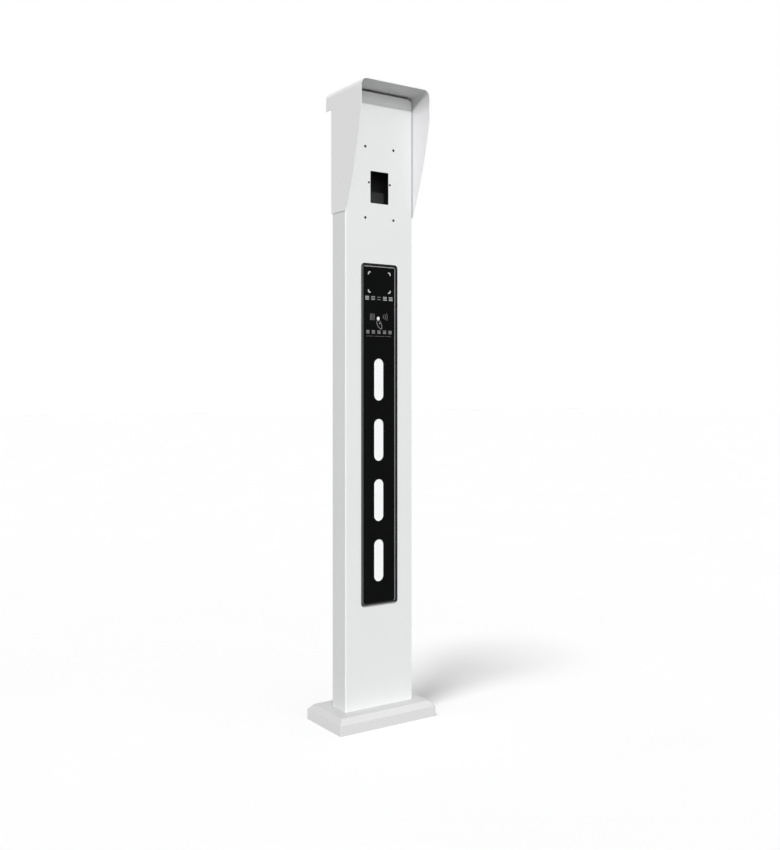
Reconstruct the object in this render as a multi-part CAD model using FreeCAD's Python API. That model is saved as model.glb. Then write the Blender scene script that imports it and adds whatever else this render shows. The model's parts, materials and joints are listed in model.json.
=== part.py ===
import FreeCAD, Part
import math
import os
from FreeCAD import Vector

# Gate intercom post: a folded steel post with a rain hood, a lit black panel, a rear service door
# and a bevelled foot cover. Millimetres. X to the viewer's right, the front faces -Y, +Z up.
# The origin is the centre of the anchor bolt pattern, on the underside of the anchor plate.

# Post
OVERALL_HEIGHT = 1500.0
POST_WIDTH = 190.0
POST_DEPTH = 60.0
POST_SHEET = 2.0
POST_BEND = 3.0              # outer radius of the vertical bends
POST_SETBACK = 4.0           # the post's axis stands this far in front of the bolt pattern's centre
RETURN_WIDTH = 18.0          # rear return, measured from the outside of the side wall
HEAD_CORNER = 14.0           # top corners of the front wall, inside the hood's shoulders
HEAD_GAP = 5.5               # shadow gap between the front wall's top and the roof
TOP_PLATE_DROP = 14.0
TOP_PLATE_FLANGE = 12.0
PANEL_FIT = 0.2              # sheet panels inside the post
PANEL_EDGE = 5.0             # stepped edges of the rear panels to the inside of the side walls
PANEL_STEP = 0.4             # rear panels between the returns

# Anchor plate and foot cover
ANCHOR_WIDTH = 244.0
ANCHOR_DEPTH = 132.0
ANCHOR_THICKNESS = 8.0
ANCHOR_CORNER = 8.0
ANCHOR_SPACING_X = 210.0
ANCHOR_SPACING_Y = 100.0
ANCHOR_HOLE = 12.0
CABLE_HOLE = 40.0
COVER_WIDTH = 270.0
COVER_DEPTH = 156.0
COVER_EDGE = 24.0            # height of the upright edge
COVER_HEIGHT = 36.5
COVER_BEVEL = 12.0
COVER_SHEET = 2.0
COVER_CORNER = 5.0
COVER_TOP_CORNER = 4.0
COVER_FIT = 0.5              # round the post
GROMMET_BORE = 30.0
GROMMET_FLANGE = 52.0
GROMMET_RIM = 3.0
GROMMET_FIT = 0.2
GROMMET_CHAMFER = 1.0
GROMMET_RISE = 0.5           # clear of the ground
EARTH_STUD = 6.0
EARTH_STUD_LENGTH = 20.0
EARTH_STUD_X = 70.0

# Rain hood
HOOD_SHEET = 1.5
HOOD_SIDE_FIT = 0.1
HOOD_SHOULDER = 17.0         # outer radius of the two shoulder bends
HOOD_LENGTH = 294.0          # from the roof down to the wings' lower edge
HOOD_REACH = 70.5            # roof in front of the post's face
HOOD_NOSE = 68.0             # upright front edge of the wings
HOOD_BULGE = 7.0             # how far the wing's slope bows out of a straight line
HOOD_BACK_LAP = 2.0
HOOD_BEND = 3.0
HOOD_CORNER = 3.0
SKIRT_REACH = 28.0           # behind the post's rear face
SKIRT_DROP = 45.0            # from the roof down to the wings' rear ends
SKIRT_LIFT = 6.0             # rear lip's lower edge above the wings' rear ends
HOOD_STUD = 5.0
HOOD_STUD_LENGTH = 14.0
HOOD_STUD_HOLE = 6.0
HOOD_STUD_ROWS = 3
HOOD_STUD_FIRST = 34.0       # above the wings' lower edge
HOOD_STUD_PITCH = 90.0

# Place for the intercom terminal
TERMINAL_HEIGHT = 1279.0     # centre of the hole patterns
TERMINAL_HOLE = 6.4
TERMINAL_SPACING_X = 80.0
TERMINAL_SPACING_Z = 168.0
BOX_HOLE = 5.5               # the two middle holes
BOX_SPACING = 60.0
CUTOUT_WIDTH = 51.0
CUTOUT_HEIGHT = 76.0
CUTOUT_DROP = 10.0           # cut-out's centre below the patterns' centre
CUTOUT_CORNER = 2.0

# Light panel
PANEL_WIDTH = 103.0
PANEL_HEIGHT = 812.0
PANEL_BOTTOM = 276.0
PANEL_CORNER = 9.0
VIEW_CORNER = 4.0            # frame's window
FRAME_PROUD = 1.0
FRAME_BORDER = 7.5
FRAME_BEVEL = 2.5
FRAME_LAP = 3.0              # lip over the post's sheet
FRAME_FIT = 0.3
FRAME_DEPTH = 6.0            # behind the post's face
LEDGE_WIDTH = 3.0
LEDGE_CORNER = 1.0
GLASS_RECESS = 3.0
GLASS_THICKNESS = 2.0
GLASS_FIT = 0.3
SLOT_WIDTH = 27.0
SLOT_LENGTH = 100.0
SLOT_COUNT = 4
SLOT_PITCH = 143.5
SLOT_FIRST = 382.5           # centre of the lowest slot
DIFFUSER_THICKNESS = 2.4
DIFFUSER_GAP = 0.2
LIGHT_CELL_HEIGHT = 128.0
LIGHT_CELL_CORNER = 4.0
LIGHT_BOX_DEPTH = 14.0
LIGHT_BOX_WALL = 2.5
LIGHT_BOX_FLOOR = 2.0
LIGHT_FIXING = 26.0          # end fixings from the light box's ends
DIFFUSER_SEAT = 1.2
BOARD_THICKNESS = 1.6
LED_BOARD_WIDTH = 24.0
LED_BOARD_END = 6.0          # short of the end cells' ends
LED_NOTCH_FIT = 1.0          # round the board where it passes between cells
LED_SIZE = 5.0
LED_HEIGHT = 1.4
LED_PER_CELL = 6
LED_PITCH = 18.0
BOSS_DIAMETER = 7.0
BOSS_LENGTH = 10.0
SCREW = 3.0
SCREW_HEAD = 5.6
SCREW_HEAD_HEIGHT = 2.2
SCREW_HOLE = 3.4
SCREW_GRIP = 6.0             # how deep a screw enters its boss
EAR_THICKNESS = 2.0
EAR_HEIGHT = 12.0
CLIP_SHEET = 1.5
CLIP_FOOT = 8.0
CLIP_STAND_OFF = 2.0         # clip's upright web from the frame's wall
TRAY_CORNER = 3.0            # light box and carrier

# Scanner and card reader behind the panel's top
CARRIER_GAP = 8.0            # above the light box
CARRIER_WALL = 2.0
CARRIER_CORNER = 2.0         # inside
CARRIER_FIXING_LOW = 20.0    # from the carrier's lower end
CARRIER_FIXING_HIGH = 16.0   # from its upper end
SCANNER_WIDTH = 60.0
SCANNER_HEIGHT = 46.0
SCANNER_DEPTH = 22.0
SCANNER_CENTRE = 1043.0
SCANNER_CORNER = 3.0
SCANNER_FLANGE = 5.0
SCANNER_FLANGE_SHEET = 2.0
SCANNER_WINDOW_WIDTH = 44.0
SCANNER_WINDOW_HEIGHT = 34.0
SCANNER_WINDOW_SHEET = 1.3
CARD_BOARD_WIDTH = 68.0
CARD_BOARD_HEIGHT = 84.0
CARD_BOARD_CENTRE = 950.0
CARD_BOARD_CORNER = 2.0
CARD_POST = 6.0
CARD_POST_LENGTH = 6.4
CARD_POST_INSET = 5.0
CARD_WINDOW_EDGE = 12.0      # carrier's floor left behind the board's edge
CARD_WINDOW_CORNER = 6.0

# Equipment plate with the power supply and the terminals
PLATE_WIDTH = 150.0
PLATE_HEIGHT = 112.0
PLATE_BOTTOM = 156.0
PLATE_SHEET = 1.5
PLATE_RISE = 8.0
PLATE_STUD = 4.0
PLATE_STUD_LENGTH = 14.0
PLATE_STUD_INSET = 7.0
PLATE_STUD_FIT = 0.3
SUPPLY_WIDTH = 51.0
SUPPLY_HEIGHT = 78.0
SUPPLY_DEPTH = 28.0
SUPPLY_LEFT = 18.0           # from the plate's left edge
SUPPLY_STEP = 16.0           # height of the step that holds the terminals
SUPPLY_STEP_DEPTH = 12.0     # left of the case under the terminals
SUPPLY_VENTS = 7
SUPPLY_VENT_PITCH = 7.0
SUPPLY_VENT_TOP = 10.0       # highest vent from the case's top
SUPPLY_VENT_LENGTH = 34.0
SUPPLY_VENT_HEIGHT = 3.0
SUPPLY_VENT_DEPTH = 1.0
STRIP_END = 4.0              # terminal strip from the case's sides
STRIP_EDGE = 1.5             # and from the step's edges
STRIP_DEPTH = 11.0
STRIP_WAYS = 4
STRIP_WALL = 2.4             # between two ways
STRIP_RECESS = 5.0
RAIL_WIDTH = 35.0
RAIL_WEB = 25.0
RAIL_DEPTH = 7.5
RAIL_GAP = 18.0              # between the power supply and the rail
RAIL_END = 14.0              # rail's ends from the plate's, clear of the nuts
RAIL_SHEET = 1.0
TERMINAL_BLOCKS = 8
TERMINAL_BLOCK_PITCH = 8.0
TERMINAL_BLOCK_GAP = 0.2
TERMINAL_BLOCK_DEPTH = 32.0
TERMINAL_BLOCK_OVERHANG = 3.0
TERMINAL_BLOCK_TOP = 18.0    # width of the raised middle
TERMINAL_BLOCK_STEP = 10.0

# Rear service door
DOOR_INSET = 10.0
DOOR_BOTTOM = 130.0
DOOR_HEAD_CLEARANCE = 15.0   # below the hood's skirt
DOOR_LAP = 12.0
DOOR_DEPTH = 10.0
DOOR_GAP = 0.4
DOOR_SHEET = 1.5
DOOR_BEND = 2.5
DOOR_BEND_EASE = 0.9         # inner edge bend over inner corner, where the two blend
GASKET_WIDTH = 8.0
GASKET_GAP = 0.3
GASKET_INSET = 1.2           # inside the door's side walls, past their inner bend
GASKET_CORNER = 2.0
HINGE_COUNT = 3
HINGE_END = 70.0             # centre of the end hinges from the door's ends
HINGE_HEIGHT = 60.0
HINGE_KNUCKLE = 8.0
HINGE_PIN = 4.0
HINGE_FLOOR = 3.0            # closed end of each half
HINGE_PIN_GAP = 0.3          # over the pin's upper end
HINGE_LIFT = 1.0             # knuckles clear of the post's rear face
HINGE_RUNNING = 0.05
HINGE_GAP = 0.4
HINGE_OFFSET = 4.5           # axis outside the door's side wall
HINGE_PLATE = 2.0
HINGE_PLATE_WIDTH = 7.5
HINGE_PLATE_EDGE = 0.5       # inside the post's side face
HINGE_LEAF = 5.6             # leaf on the door's side wall

# Cam lock
LOCK_INSET = 25.0            # from the door's free edge
LOCK_HEAD = 22.0
LOCK_HEAD_HEIGHT = 2.5
LOCK_CHAMFER = 0.8
LOCK_BARREL = 18.0
LOCK_HOLE_FIT = 0.1
LOCK_NECK = 0.3              # barrel's end clear of the cam
LOCK_PLUG = 11.0
LOCK_PLUG_HEAD = 14.0
LOCK_PLUG_HEAD_HEIGHT = 1.8
KEY_SLOT_WIDTH = 1.4
KEY_SLOT_LENGTH = 7.0
KEY_SLOT_DEPTH = 6.0
LOCK_RUNNING = 0.05
LOCK_NUT_FLATS = 24.0
LOCK_NUT_HEIGHT = 4.0
CAM_THICKNESS = 2.0
CAM_WIDTH = 14.0
CAM_CLEARANCE = 0.5          # to the inside of the return
CAM_HOLD = 9.0               # how far the cam reaches behind the return
CAM_SCREW = 4.0
CAM_SCREW_HEAD = 8.0
CAM_SCREW_HEAD_HEIGHT = 2.5
CAM_SCREW_GRIP = 6.0         # how deep it enters the plug

THREAD_FIT = 0.02            # radial, between a nut and its stud
SIZE_AF = 1.6                # a small nut's width across flats over its thread
NUT_HEIGHT = 0.8             # a small nut's height over its thread

# Places that several pieces share
post_y = -POST_SETBACK
face_y = post_y - POST_DEPTH / 2
rear_y = post_y + POST_DEPTH / 2
half_post = POST_WIDTH / 2
inner_half = half_post - POST_SHEET
wall_y = face_y + POST_SHEET
return_y = rear_y - POST_SHEET
return_edge = half_post - RETURN_WIDTH
roof_under = OVERALL_HEIGHT - HOOD_SHEET
front_top = roof_under - HEAD_GAP
top_plate_z = front_top - TOP_PLATE_DROP
hood_bottom = OVERALL_HEIGHT - HOOD_LENGTH
hood_half = half_post + HOOD_SIDE_FIT + HOOD_SHEET
skirt_bottom = OVERALL_HEIGHT - SKIRT_DROP

door_half = half_post - DOOR_INSET
door_top = skirt_bottom - DOOR_HEAD_CLEARANCE
door_front = rear_y + DOOR_GAP
door_back = door_front + DOOR_DEPTH
door_skin = door_back - DOOR_SHEET
door_middle = (DOOR_BOTTOM + door_top) / 2
opening_bottom = DOOR_BOTTOM + DOOR_LAP
opening_top = door_top - DOOR_LAP
hinge_x = door_half + HINGE_OFFSET
hinge_y = rear_y + HINGE_LIFT + HINGE_KNUCKLE / 2

panel_middle = PANEL_BOTTOM + PANEL_HEIGHT / 2
view_width = PANEL_WIDTH - 2 * FRAME_BORDER
view_height = PANEL_HEIGHT - 2 * FRAME_BORDER
ledge_width = view_width - 2 * LEDGE_WIDTH
ledge_height = view_height - 2 * LEDGE_WIDTH
spigot_width = PANEL_WIDTH - 2 * FRAME_LAP - 2 * FRAME_FIT
spigot_height = PANEL_HEIGHT - 2 * FRAME_LAP - 2 * FRAME_FIT
glass_front = face_y - FRAME_PROUD + GLASS_RECESS
glass_back = glass_front + GLASS_THICKNESS
frame_back = face_y + FRAME_DEPTH
boss_end = frame_back + BOSS_LENGTH
boss_x = spigot_width / 2 - BOSS_DIAMETER / 2
ear_back = boss_end + EAR_THICKNESS
clip_back = ear_back + CLIP_SHEET
slot_centres = [SLOT_FIRST + SLOT_PITCH * i for i in range(SLOT_COUNT)]

box_half = ledge_width / 2 - GLASS_FIT
box_back = glass_back + LIGHT_BOX_DEPTH
box_floor = box_back - LIGHT_BOX_FLOOR
cell_half = box_half - LIGHT_BOX_WALL
box_margin = LIGHT_CELL_HEIGHT / 2 + LIGHT_BOX_WALL + DIFFUSER_SEAT
box_bottom = slot_centres[0] - box_margin
box_top = slot_centres[-1] + box_margin
carrier_bottom = box_top + CARRIER_GAP
carrier_top = panel_middle + ledge_height / 2 - GLASS_FIT
light_fixings = [box_bottom + LIGHT_FIXING, (box_bottom + box_top) / 2, box_top - LIGHT_FIXING]
carrier_fixings = [carrier_bottom + CARRIER_FIXING_LOW, carrier_top - CARRIER_FIXING_HIGH]

plate_back = wall_y + PLATE_RISE
plate_top = PLATE_BOTTOM + PLATE_HEIGHT
supply_x = -PLATE_WIDTH / 2 + SUPPLY_LEFT
supply_bottom = PLATE_BOTTOM + (PLATE_HEIGHT - SUPPLY_HEIGHT) / 2
step_back = plate_back + SUPPLY_STEP_DEPTH
rail_x = supply_x + SUPPLY_WIDTH + RAIL_GAP
rail_middle = rail_x + RAIL_WIDTH / 2

lock_x = -door_half + LOCK_INSET
cam_back = return_y - CAM_CLEARANCE
cam_front = cam_back - CAM_THICKNESS
barrel_end = cam_back + LOCK_NECK


def box(x_low, x_high, y_low, y_high, z_low, z_high):
    """Block between two corners."""
    return Part.makeBox(x_high - x_low, y_high - y_low, z_high - z_low, Vector(x_low, y_low, z_low))


def rounded_outline(width, height, radius):
    """Closed outline of a rectangle with round corners, centred in the XY plane."""
    x, y = width / 2, height / 2
    a, b = x - radius, y - radius
    cut = radius * math.sqrt(0.5)
    corners = [(1, 1, 0), (-1, 1, 1), (-1, -1, 0), (1, -1, 1)]
    edges = []
    ends = []
    for sx, sy, turned in corners:
        upright = Vector(sx * x, sy * b, 0)
        level = Vector(sx * a, sy * y, 0)
        middle = Vector(sx * (a + cut), sy * (b + cut), 0)
        start, end = (level, upright) if turned else (upright, level)
        if radius > 0:
            edges.append(Part.Arc(start, middle, end).toShape())
        ends.append((start, end))
    for (_, end), (start, _) in zip(ends, ends[1:] + ends[:1]):
        if end.distanceToPoint(start) > 1e-6:
            edges.append(Part.LineSegment(end, start).toShape())
    return Part.Wire(Part.__sortEdges__(edges))


def plate_z(width, depth, radius, z_low, z_high, x=0.0, y=0.0):
    """Rounded rectangle in plan, extruded upwards."""
    solid = Part.Face(rounded_outline(width, depth, radius)).extrude(Vector(0, 0, z_high - z_low))
    solid.translate(Vector(x, y, z_low))
    return solid


def plate_y(width, height, radius, y_low, y_high, x=0.0, z=0.0):
    """Rounded rectangle seen from the front, extruded along Y."""
    solid = Part.Face(rounded_outline(width, height, radius)).extrude(Vector(0, 0, y_high - y_low))
    solid.rotate(Vector(0, 0, 0), Vector(1, 0, 0), 90)
    solid.translate(Vector(x, y_high, z))
    return solid


def rod(radius, start, end):
    """Round bar between two points."""
    return Part.makeCylinder(radius, (end - start).Length, start, end - start)


def rod_x(radius, x_low, x_high, y, z):
    return rod(radius, Vector(x_low, y, z), Vector(x_high, y, z))


def rod_y(radius, y_low, y_high, x, z):
    return rod(radius, Vector(x, y_low, z), Vector(x, y_high, z))


def rod_z(radius, z_low, z_high, x, y):
    return rod(radius, Vector(x, y, z_low), Vector(x, y, z_high))


def hexagon(across_flats, start, end):
    """Hexagonal bar between two points."""
    direction = end - start
    across_corners = across_flats / math.cos(math.radians(30)) / 2
    corners = []
    for step in range(7):
        turn = math.radians(60 * step)
        corners.append(Vector(across_corners * math.cos(turn), across_corners * math.sin(turn), 0))
    bar = Part.Face(Part.makePolygon(corners)).extrude(Vector(0, 0, direction.Length))
    bar.Placement = FreeCAD.Placement(start, FreeCAD.Rotation(Vector(0, 0, 1), direction))
    return bar


def edges_on(shape, y=None, z=None):
    """Edges that lie wholly on one plane."""
    found = []
    for edge in shape.Edges:
        bounds = edge.BoundBox
        on_y = y is None or (abs(bounds.YMin - y) < 1e-4 and abs(bounds.YMax - y) < 1e-4)
        on_z = z is None or (abs(bounds.ZMin - z) < 1e-4 and abs(bounds.ZMax - z) < 1e-4)
        if on_y and on_z:
            found.append(edge)
    return found


def one(shape):
    """The single solid of a shape that was fused or cut."""
    clean = shape.removeSplitter()
    return clean.Solids[0] if len(clean.Solids) == 1 else clean


def save(name, shape):
    """Write one piece, or a group of like pieces."""
    if isinstance(shape, list):
        shape = Part.makeCompound(shape)
    shape.exportStep("parts/" + name + ".step")


def small_nut(thread, start, direction):
    """Hexagonal nut for a stud of the given thread."""
    end = start + direction * (thread * NUT_HEIGHT)
    nut = hexagon(thread * SIZE_AF, start, end)
    return nut.cut(rod(thread / 2 + THREAD_FIT, start - direction, end + direction))


def terminal_holes():
    """Holes and cut-out that take the intercom terminal."""
    tools = []
    low, high = face_y - 1, wall_y + 1
    for x in (-TERMINAL_SPACING_X / 2, TERMINAL_SPACING_X / 2):
        for z in (-TERMINAL_SPACING_Z / 2, TERMINAL_SPACING_Z / 2):
            tools.append(rod_y(TERMINAL_HOLE / 2, low, high, x, TERMINAL_HEIGHT + z))
    for x in (-BOX_SPACING / 2, BOX_SPACING / 2):
        tools.append(rod_y(BOX_HOLE / 2, low, high, x, TERMINAL_HEIGHT))
    middle = TERMINAL_HEIGHT - CUTOUT_DROP
    tools.append(plate_y(CUTOUT_WIDTH, CUTOUT_HEIGHT, CUTOUT_CORNER, low, high, 0, middle))
    return tools


def hood_stud_heights():
    first = hood_bottom + HOOD_STUD_FIRST
    return [first + HOOD_STUD_PITCH * row for row in range(HOOD_STUD_ROWS)]


def post_body():
    """Folded sheet: front wall, two sides and two rear returns."""
    low = ANCHOR_THICKNESS
    outside = plate_z(POST_WIDTH, POST_DEPTH, POST_BEND, low, front_top, 0, post_y)
    inside = plate_z(POST_WIDTH - 2 * POST_SHEET, POST_DEPTH - 2 * POST_SHEET,
                     POST_BEND - POST_SHEET, low - 1, front_top + 1, 0, post_y)
    gap = box(-return_edge, return_edge, return_y - 1, rear_y + 1, low - 1, front_top + 1)
    tall = front_top + HEAD_CORNER * 2
    head = plate_y(POST_WIDTH, tall, HEAD_CORNER, face_y - 1, rear_y + 1, 0, front_top - tall / 2)
    sheet = outside.cut([inside, gap]).common(head)
    opening_width = PANEL_WIDTH - 2 * FRAME_LAP
    opening_height = PANEL_HEIGHT - 2 * FRAME_LAP
    cuts = terminal_holes()
    cuts.append(plate_y(opening_width, opening_height, PANEL_CORNER - FRAME_LAP,
                        face_y - 1, wall_y + 1, 0, panel_middle))
    for z in hood_stud_heights():
        cuts.append(rod_x(HOOD_STUD_HOLE / 2, -half_post - 1, half_post + 1, post_y, z))
    return one(sheet.cut(cuts))


def top_plate():
    """Shallow tray that closes the post below the roof."""
    width = 2 * (inner_half - PANEL_FIT)
    back = return_y - POST_SHEET - PANEL_FIT
    front = wall_y + PANEL_FIT
    middle = (front + back) / 2
    low = top_plate_z - TOP_PLATE_FLANGE
    tray = plate_z(width, back - front, POST_BEND, low, top_plate_z, 0, middle)
    hollow = plate_z(width - 2 * POST_SHEET, back - front - 2 * POST_SHEET, POST_BEND - POST_SHEET,
                     low - 1, top_plate_z - POST_SHEET, 0, middle)
    return one(tray.cut(hollow))


def joggled_panel(z_low, z_high, lip_z):
    """Rear panel, set flush between the returns with its side edges stepped behind them."""
    edge = inner_half - PANEL_EDGE
    step = return_edge - PANEL_STEP
    flush = step - POST_SHEET
    shift = POST_SHEET * math.tan(math.radians(22.5))
    right = [(flush, rear_y), (step, return_y), (edge, return_y), (edge, return_y - POST_SHEET),
             (step - shift, return_y - POST_SHEET), (flush - shift, return_y)]
    left = [(-x, y) for x, y in reversed(right)]
    corners = [Vector(x, y, z_low) for x, y in right + left]
    sheet = Part.Face(Part.makePolygon(corners + corners[:1])).extrude(Vector(0, 0, z_high - z_low))
    lip = box(-flush + shift, flush - shift, return_y - TOP_PLATE_FLANGE, return_y,
              lip_z, lip_z + POST_SHEET)
    return one(sheet.fuse(lip))


def anchor_plate():
    """Ground plate with four bolt holes and the cable hole."""
    plate = plate_z(ANCHOR_WIDTH, ANCHOR_DEPTH, ANCHOR_CORNER, 0, ANCHOR_THICKNESS)
    tools = [rod_z(CABLE_HOLE / 2, -1, ANCHOR_THICKNESS + 1, 0, post_y)]
    for x in (-ANCHOR_SPACING_X / 2, ANCHOR_SPACING_X / 2):
        for y in (-ANCHOR_SPACING_Y / 2, ANCHOR_SPACING_Y / 2):
            tools.append(rod_z(ANCHOR_HOLE / 2, -1, ANCHOR_THICKNESS + 1, x, y))
    return one(plate.cut(tools))


def cover_block(inset, z_low):
    """Solid inside the foot cover's surface: upright edge, then the bevel."""
    tuck = inset * math.tan(math.radians(22.5))
    width, depth = COVER_WIDTH - 2 * inset, COVER_DEPTH - 2 * inset
    top_width, top_depth = (size - 2 * COVER_BEVEL - 2 * tuck for size in (COVER_WIDTH, COVER_DEPTH))
    break_z, top_z = COVER_EDGE - tuck, COVER_HEIGHT - inset
    lower = plate_z(width, depth, COVER_CORNER - inset, z_low, break_z)
    foot = rounded_outline(width, depth, COVER_CORNER - inset)
    foot.translate(Vector(0, 0, break_z))
    crown = rounded_outline(top_width, top_depth, COVER_TOP_CORNER - tuck)
    crown.translate(Vector(0, 0, top_z))
    return lower.fuse(Part.makeLoft([foot, crown], True, True))


def base_cover():
    """Open-bottomed cover with a bevelled top, slipped over the post's foot."""
    aperture = plate_z(POST_WIDTH + 2 * COVER_FIT, POST_DEPTH + 2 * COVER_FIT, POST_BEND + COVER_FIT,
                       0, COVER_HEIGHT + 1, 0, post_y)
    shell = cover_block(0.0, 0.0).cut([cover_block(COVER_SHEET, -1.0), aperture])
    return one(shell)


def cable_grommet():
    """Rubber grommet in the anchor plate's cable hole."""
    top = ANCHOR_THICKNESS + GROMMET_RIM
    body = rod_z(CABLE_HOLE / 2 - GROMMET_FIT, GROMMET_RISE, ANCHOR_THICKNESS, 0, post_y)
    rim = rod_z(GROMMET_FLANGE / 2, ANCHOR_THICKNESS, top, 0, post_y)
    rim = rim.makeChamfer(GROMMET_CHAMFER, edges_on(rim, z=top))
    bore = rod_z(GROMMET_BORE / 2, 0, top + 1, 0, post_y)
    return one(body.fuse(rim).cut(bore))


def hood_shape(inset, front, back, bend):
    """Solid inside the hood's surface: roof, shoulders and sides, with a bent rear edge."""
    deep = HOOD_LENGTH + 2 * HOOD_SHOULDER + 20 * inset
    width = 2 * (hood_half - inset)
    top = OVERALL_HEIGHT - inset
    block = plate_y(width, deep, HOOD_SHOULDER - inset, front, back, 0, top - deep / 2)
    return block.makeFillet(bend, edges_on(block, y=back))


def wing_outline():
    """Side view of the hood, extruded across it."""
    front = face_y - HOOD_REACH
    back = rear_y + HOOD_BACK_LAP
    skirt = rear_y + SKIRT_REACH
    nose = Vector(0, front, OVERALL_HEIGHT - HOOD_NOSE)
    heel = Vector(0, face_y, hood_bottom)
    slope = heel - nose
    outward = Vector(0, slope.z, -slope.y).normalize()
    bow = (nose + heel) * 0.5 + outward * HOOD_BULGE
    roof = OVERALL_HEIGHT + 1
    points = [heel, Vector(0, back, hood_bottom), Vector(0, back, skirt_bottom),
              Vector(0, skirt + 1, skirt_bottom), Vector(0, skirt + 1, roof),
              Vector(0, front, roof), nose]
    edges = [Part.LineSegment(a, b).toShape() for a, b in zip(points, points[1:])]
    edges.append(Part.Arc(nose, bow, heel).toShape())
    width = 2 * hood_half + 2
    block = Part.Face(Part.Wire(edges)).extrude(Vector(width, 0, 0))
    block.translate(Vector(-width / 2, 0, 0))
    rounded = edges_on(block, y=back, z=hood_bottom) + edges_on(block, y=back, z=skirt_bottom)
    return block.makeFillet(HOOD_CORNER, rounded)


def rain_hood():
    """One folded sheet: roof, rounded shoulders, two tapering wings and a rear skirt."""
    front = face_y - HOOD_REACH
    skirt = rear_y + SKIRT_REACH
    outside = hood_shape(0.0, front, skirt, HOOD_BEND)
    inside = hood_shape(HOOD_SHEET, front - 1, skirt - HOOD_SHEET, HOOD_BEND - HOOD_SHEET)
    lip_half = hood_half - HOOD_BEND
    below_lip = box(-lip_half, lip_half, skirt - HOOD_SHEET - 1, skirt + 1,
                    skirt_bottom - 1, skirt_bottom + SKIRT_LIFT)
    return one(outside.cut(inside).common(wing_outline()).cut(below_lip))


def hood_fixings():
    """Studs on the hood's wings and the nuts that hold them inside the post."""
    studs, nuts = [], []
    for side in (-1, 1):
        wing = side * (half_post + HOOD_SIDE_FIT)
        tip = wing - side * HOOD_STUD_LENGTH
        for z in hood_stud_heights():
            studs.append(rod(HOOD_STUD / 2, Vector(wing, post_y, z), Vector(tip, post_y, z)))
            seat = Vector(side * inner_half, post_y, z)
            nuts.append(small_nut(HOOD_STUD, seat, Vector(-side, 0, 0)))
    return studs, nuts


def fixing_places(heights):
    """Left and right fixing places at the given heights."""
    return [(side * boss_x, side, z) for z in heights for side in (-1, 1)]


def panel_frame():
    """Long frame: a lip on the post's face, a wall through it and a ledge behind the glass."""
    lip = plate_y(PANEL_WIDTH, PANEL_HEIGHT, PANEL_CORNER, face_y - FRAME_PROUD, face_y,
                  0, panel_middle)
    lip = lip.makeFillet(FRAME_PROUD / 2, edges_on(lip, y=face_y - FRAME_PROUD))
    wall = plate_y(spigot_width, spigot_height, PANEL_CORNER - FRAME_LAP - FRAME_FIT,
                   face_y, frame_back, 0, panel_middle)
    view = plate_y(view_width, view_height, VIEW_CORNER, face_y - FRAME_PROUD,
                   glass_back, 0, panel_middle)
    ledge = plate_y(ledge_width, ledge_height, LEDGE_CORNER, face_y, frame_back + 1, 0, panel_middle)
    body = lip.fuse(wall)
    for x, _, z in fixing_places(light_fixings + carrier_fixings):
        body = body.fuse(rod_y(BOSS_DIAMETER / 2, frame_back - 1, boss_end, x, z))
    holes = [rod_y(SCREW / 2 + THREAD_FIT, boss_end - SCREW_GRIP - 1, boss_end + 1, x, z)
             for x, _, z in fixing_places(light_fixings + carrier_fixings)]
    frame = body.cut([view, ledge] + holes)
    rim = [edge for edge in edges_on(frame, y=face_y - FRAME_PROUD)
           if abs(edge.BoundBox.Center.x) <= view_width / 2
           and abs(edge.BoundBox.Center.z - panel_middle) <= view_height / 2]
    return one(frame.makeChamfer(FRAME_BEVEL, rim))


def front_glass():
    """Black sheet with the row of light slots."""
    sheet = plate_y(view_width - 2 * GLASS_FIT, view_height - 2 * GLASS_FIT,
                    VIEW_CORNER - GLASS_FIT, glass_front, glass_back, 0, panel_middle)
    slots = [plate_y(SLOT_WIDTH, SLOT_LENGTH, SLOT_WIDTH / 2, glass_front - 1, glass_back + 1, 0, z)
             for z in slot_centres]
    return one(sheet.cut(slots))


def light_diffuser(z):
    """White sheet behind one slot."""
    width = 2 * (cell_half + DIFFUSER_SEAT - DIFFUSER_GAP)
    height = LIGHT_CELL_HEIGHT + 2 * (DIFFUSER_SEAT - DIFFUSER_GAP)
    front = glass_back + DIFFUSER_GAP
    return plate_y(width, height, LIGHT_CELL_CORNER, front, front + DIFFUSER_THICKNESS, 0, z)


def ears(heights, side_x):
    """Screw ears that stand out of a tray's sides onto the frame's bosses."""
    pieces, holes = [], []
    for x, side, z in fixing_places(heights):
        tip = side * (boss_x + BOSS_DIAMETER / 2)
        low, high = sorted((side * (side_x - 1), tip))
        pieces.append(box(low, high, boss_end, ear_back, z - EAR_HEIGHT / 2, z + EAR_HEIGHT / 2))
        holes.append(rod_y(SCREW_HOLE / 2, boss_end - 1, ear_back + 1, x, z))
    return pieces, holes


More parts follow.
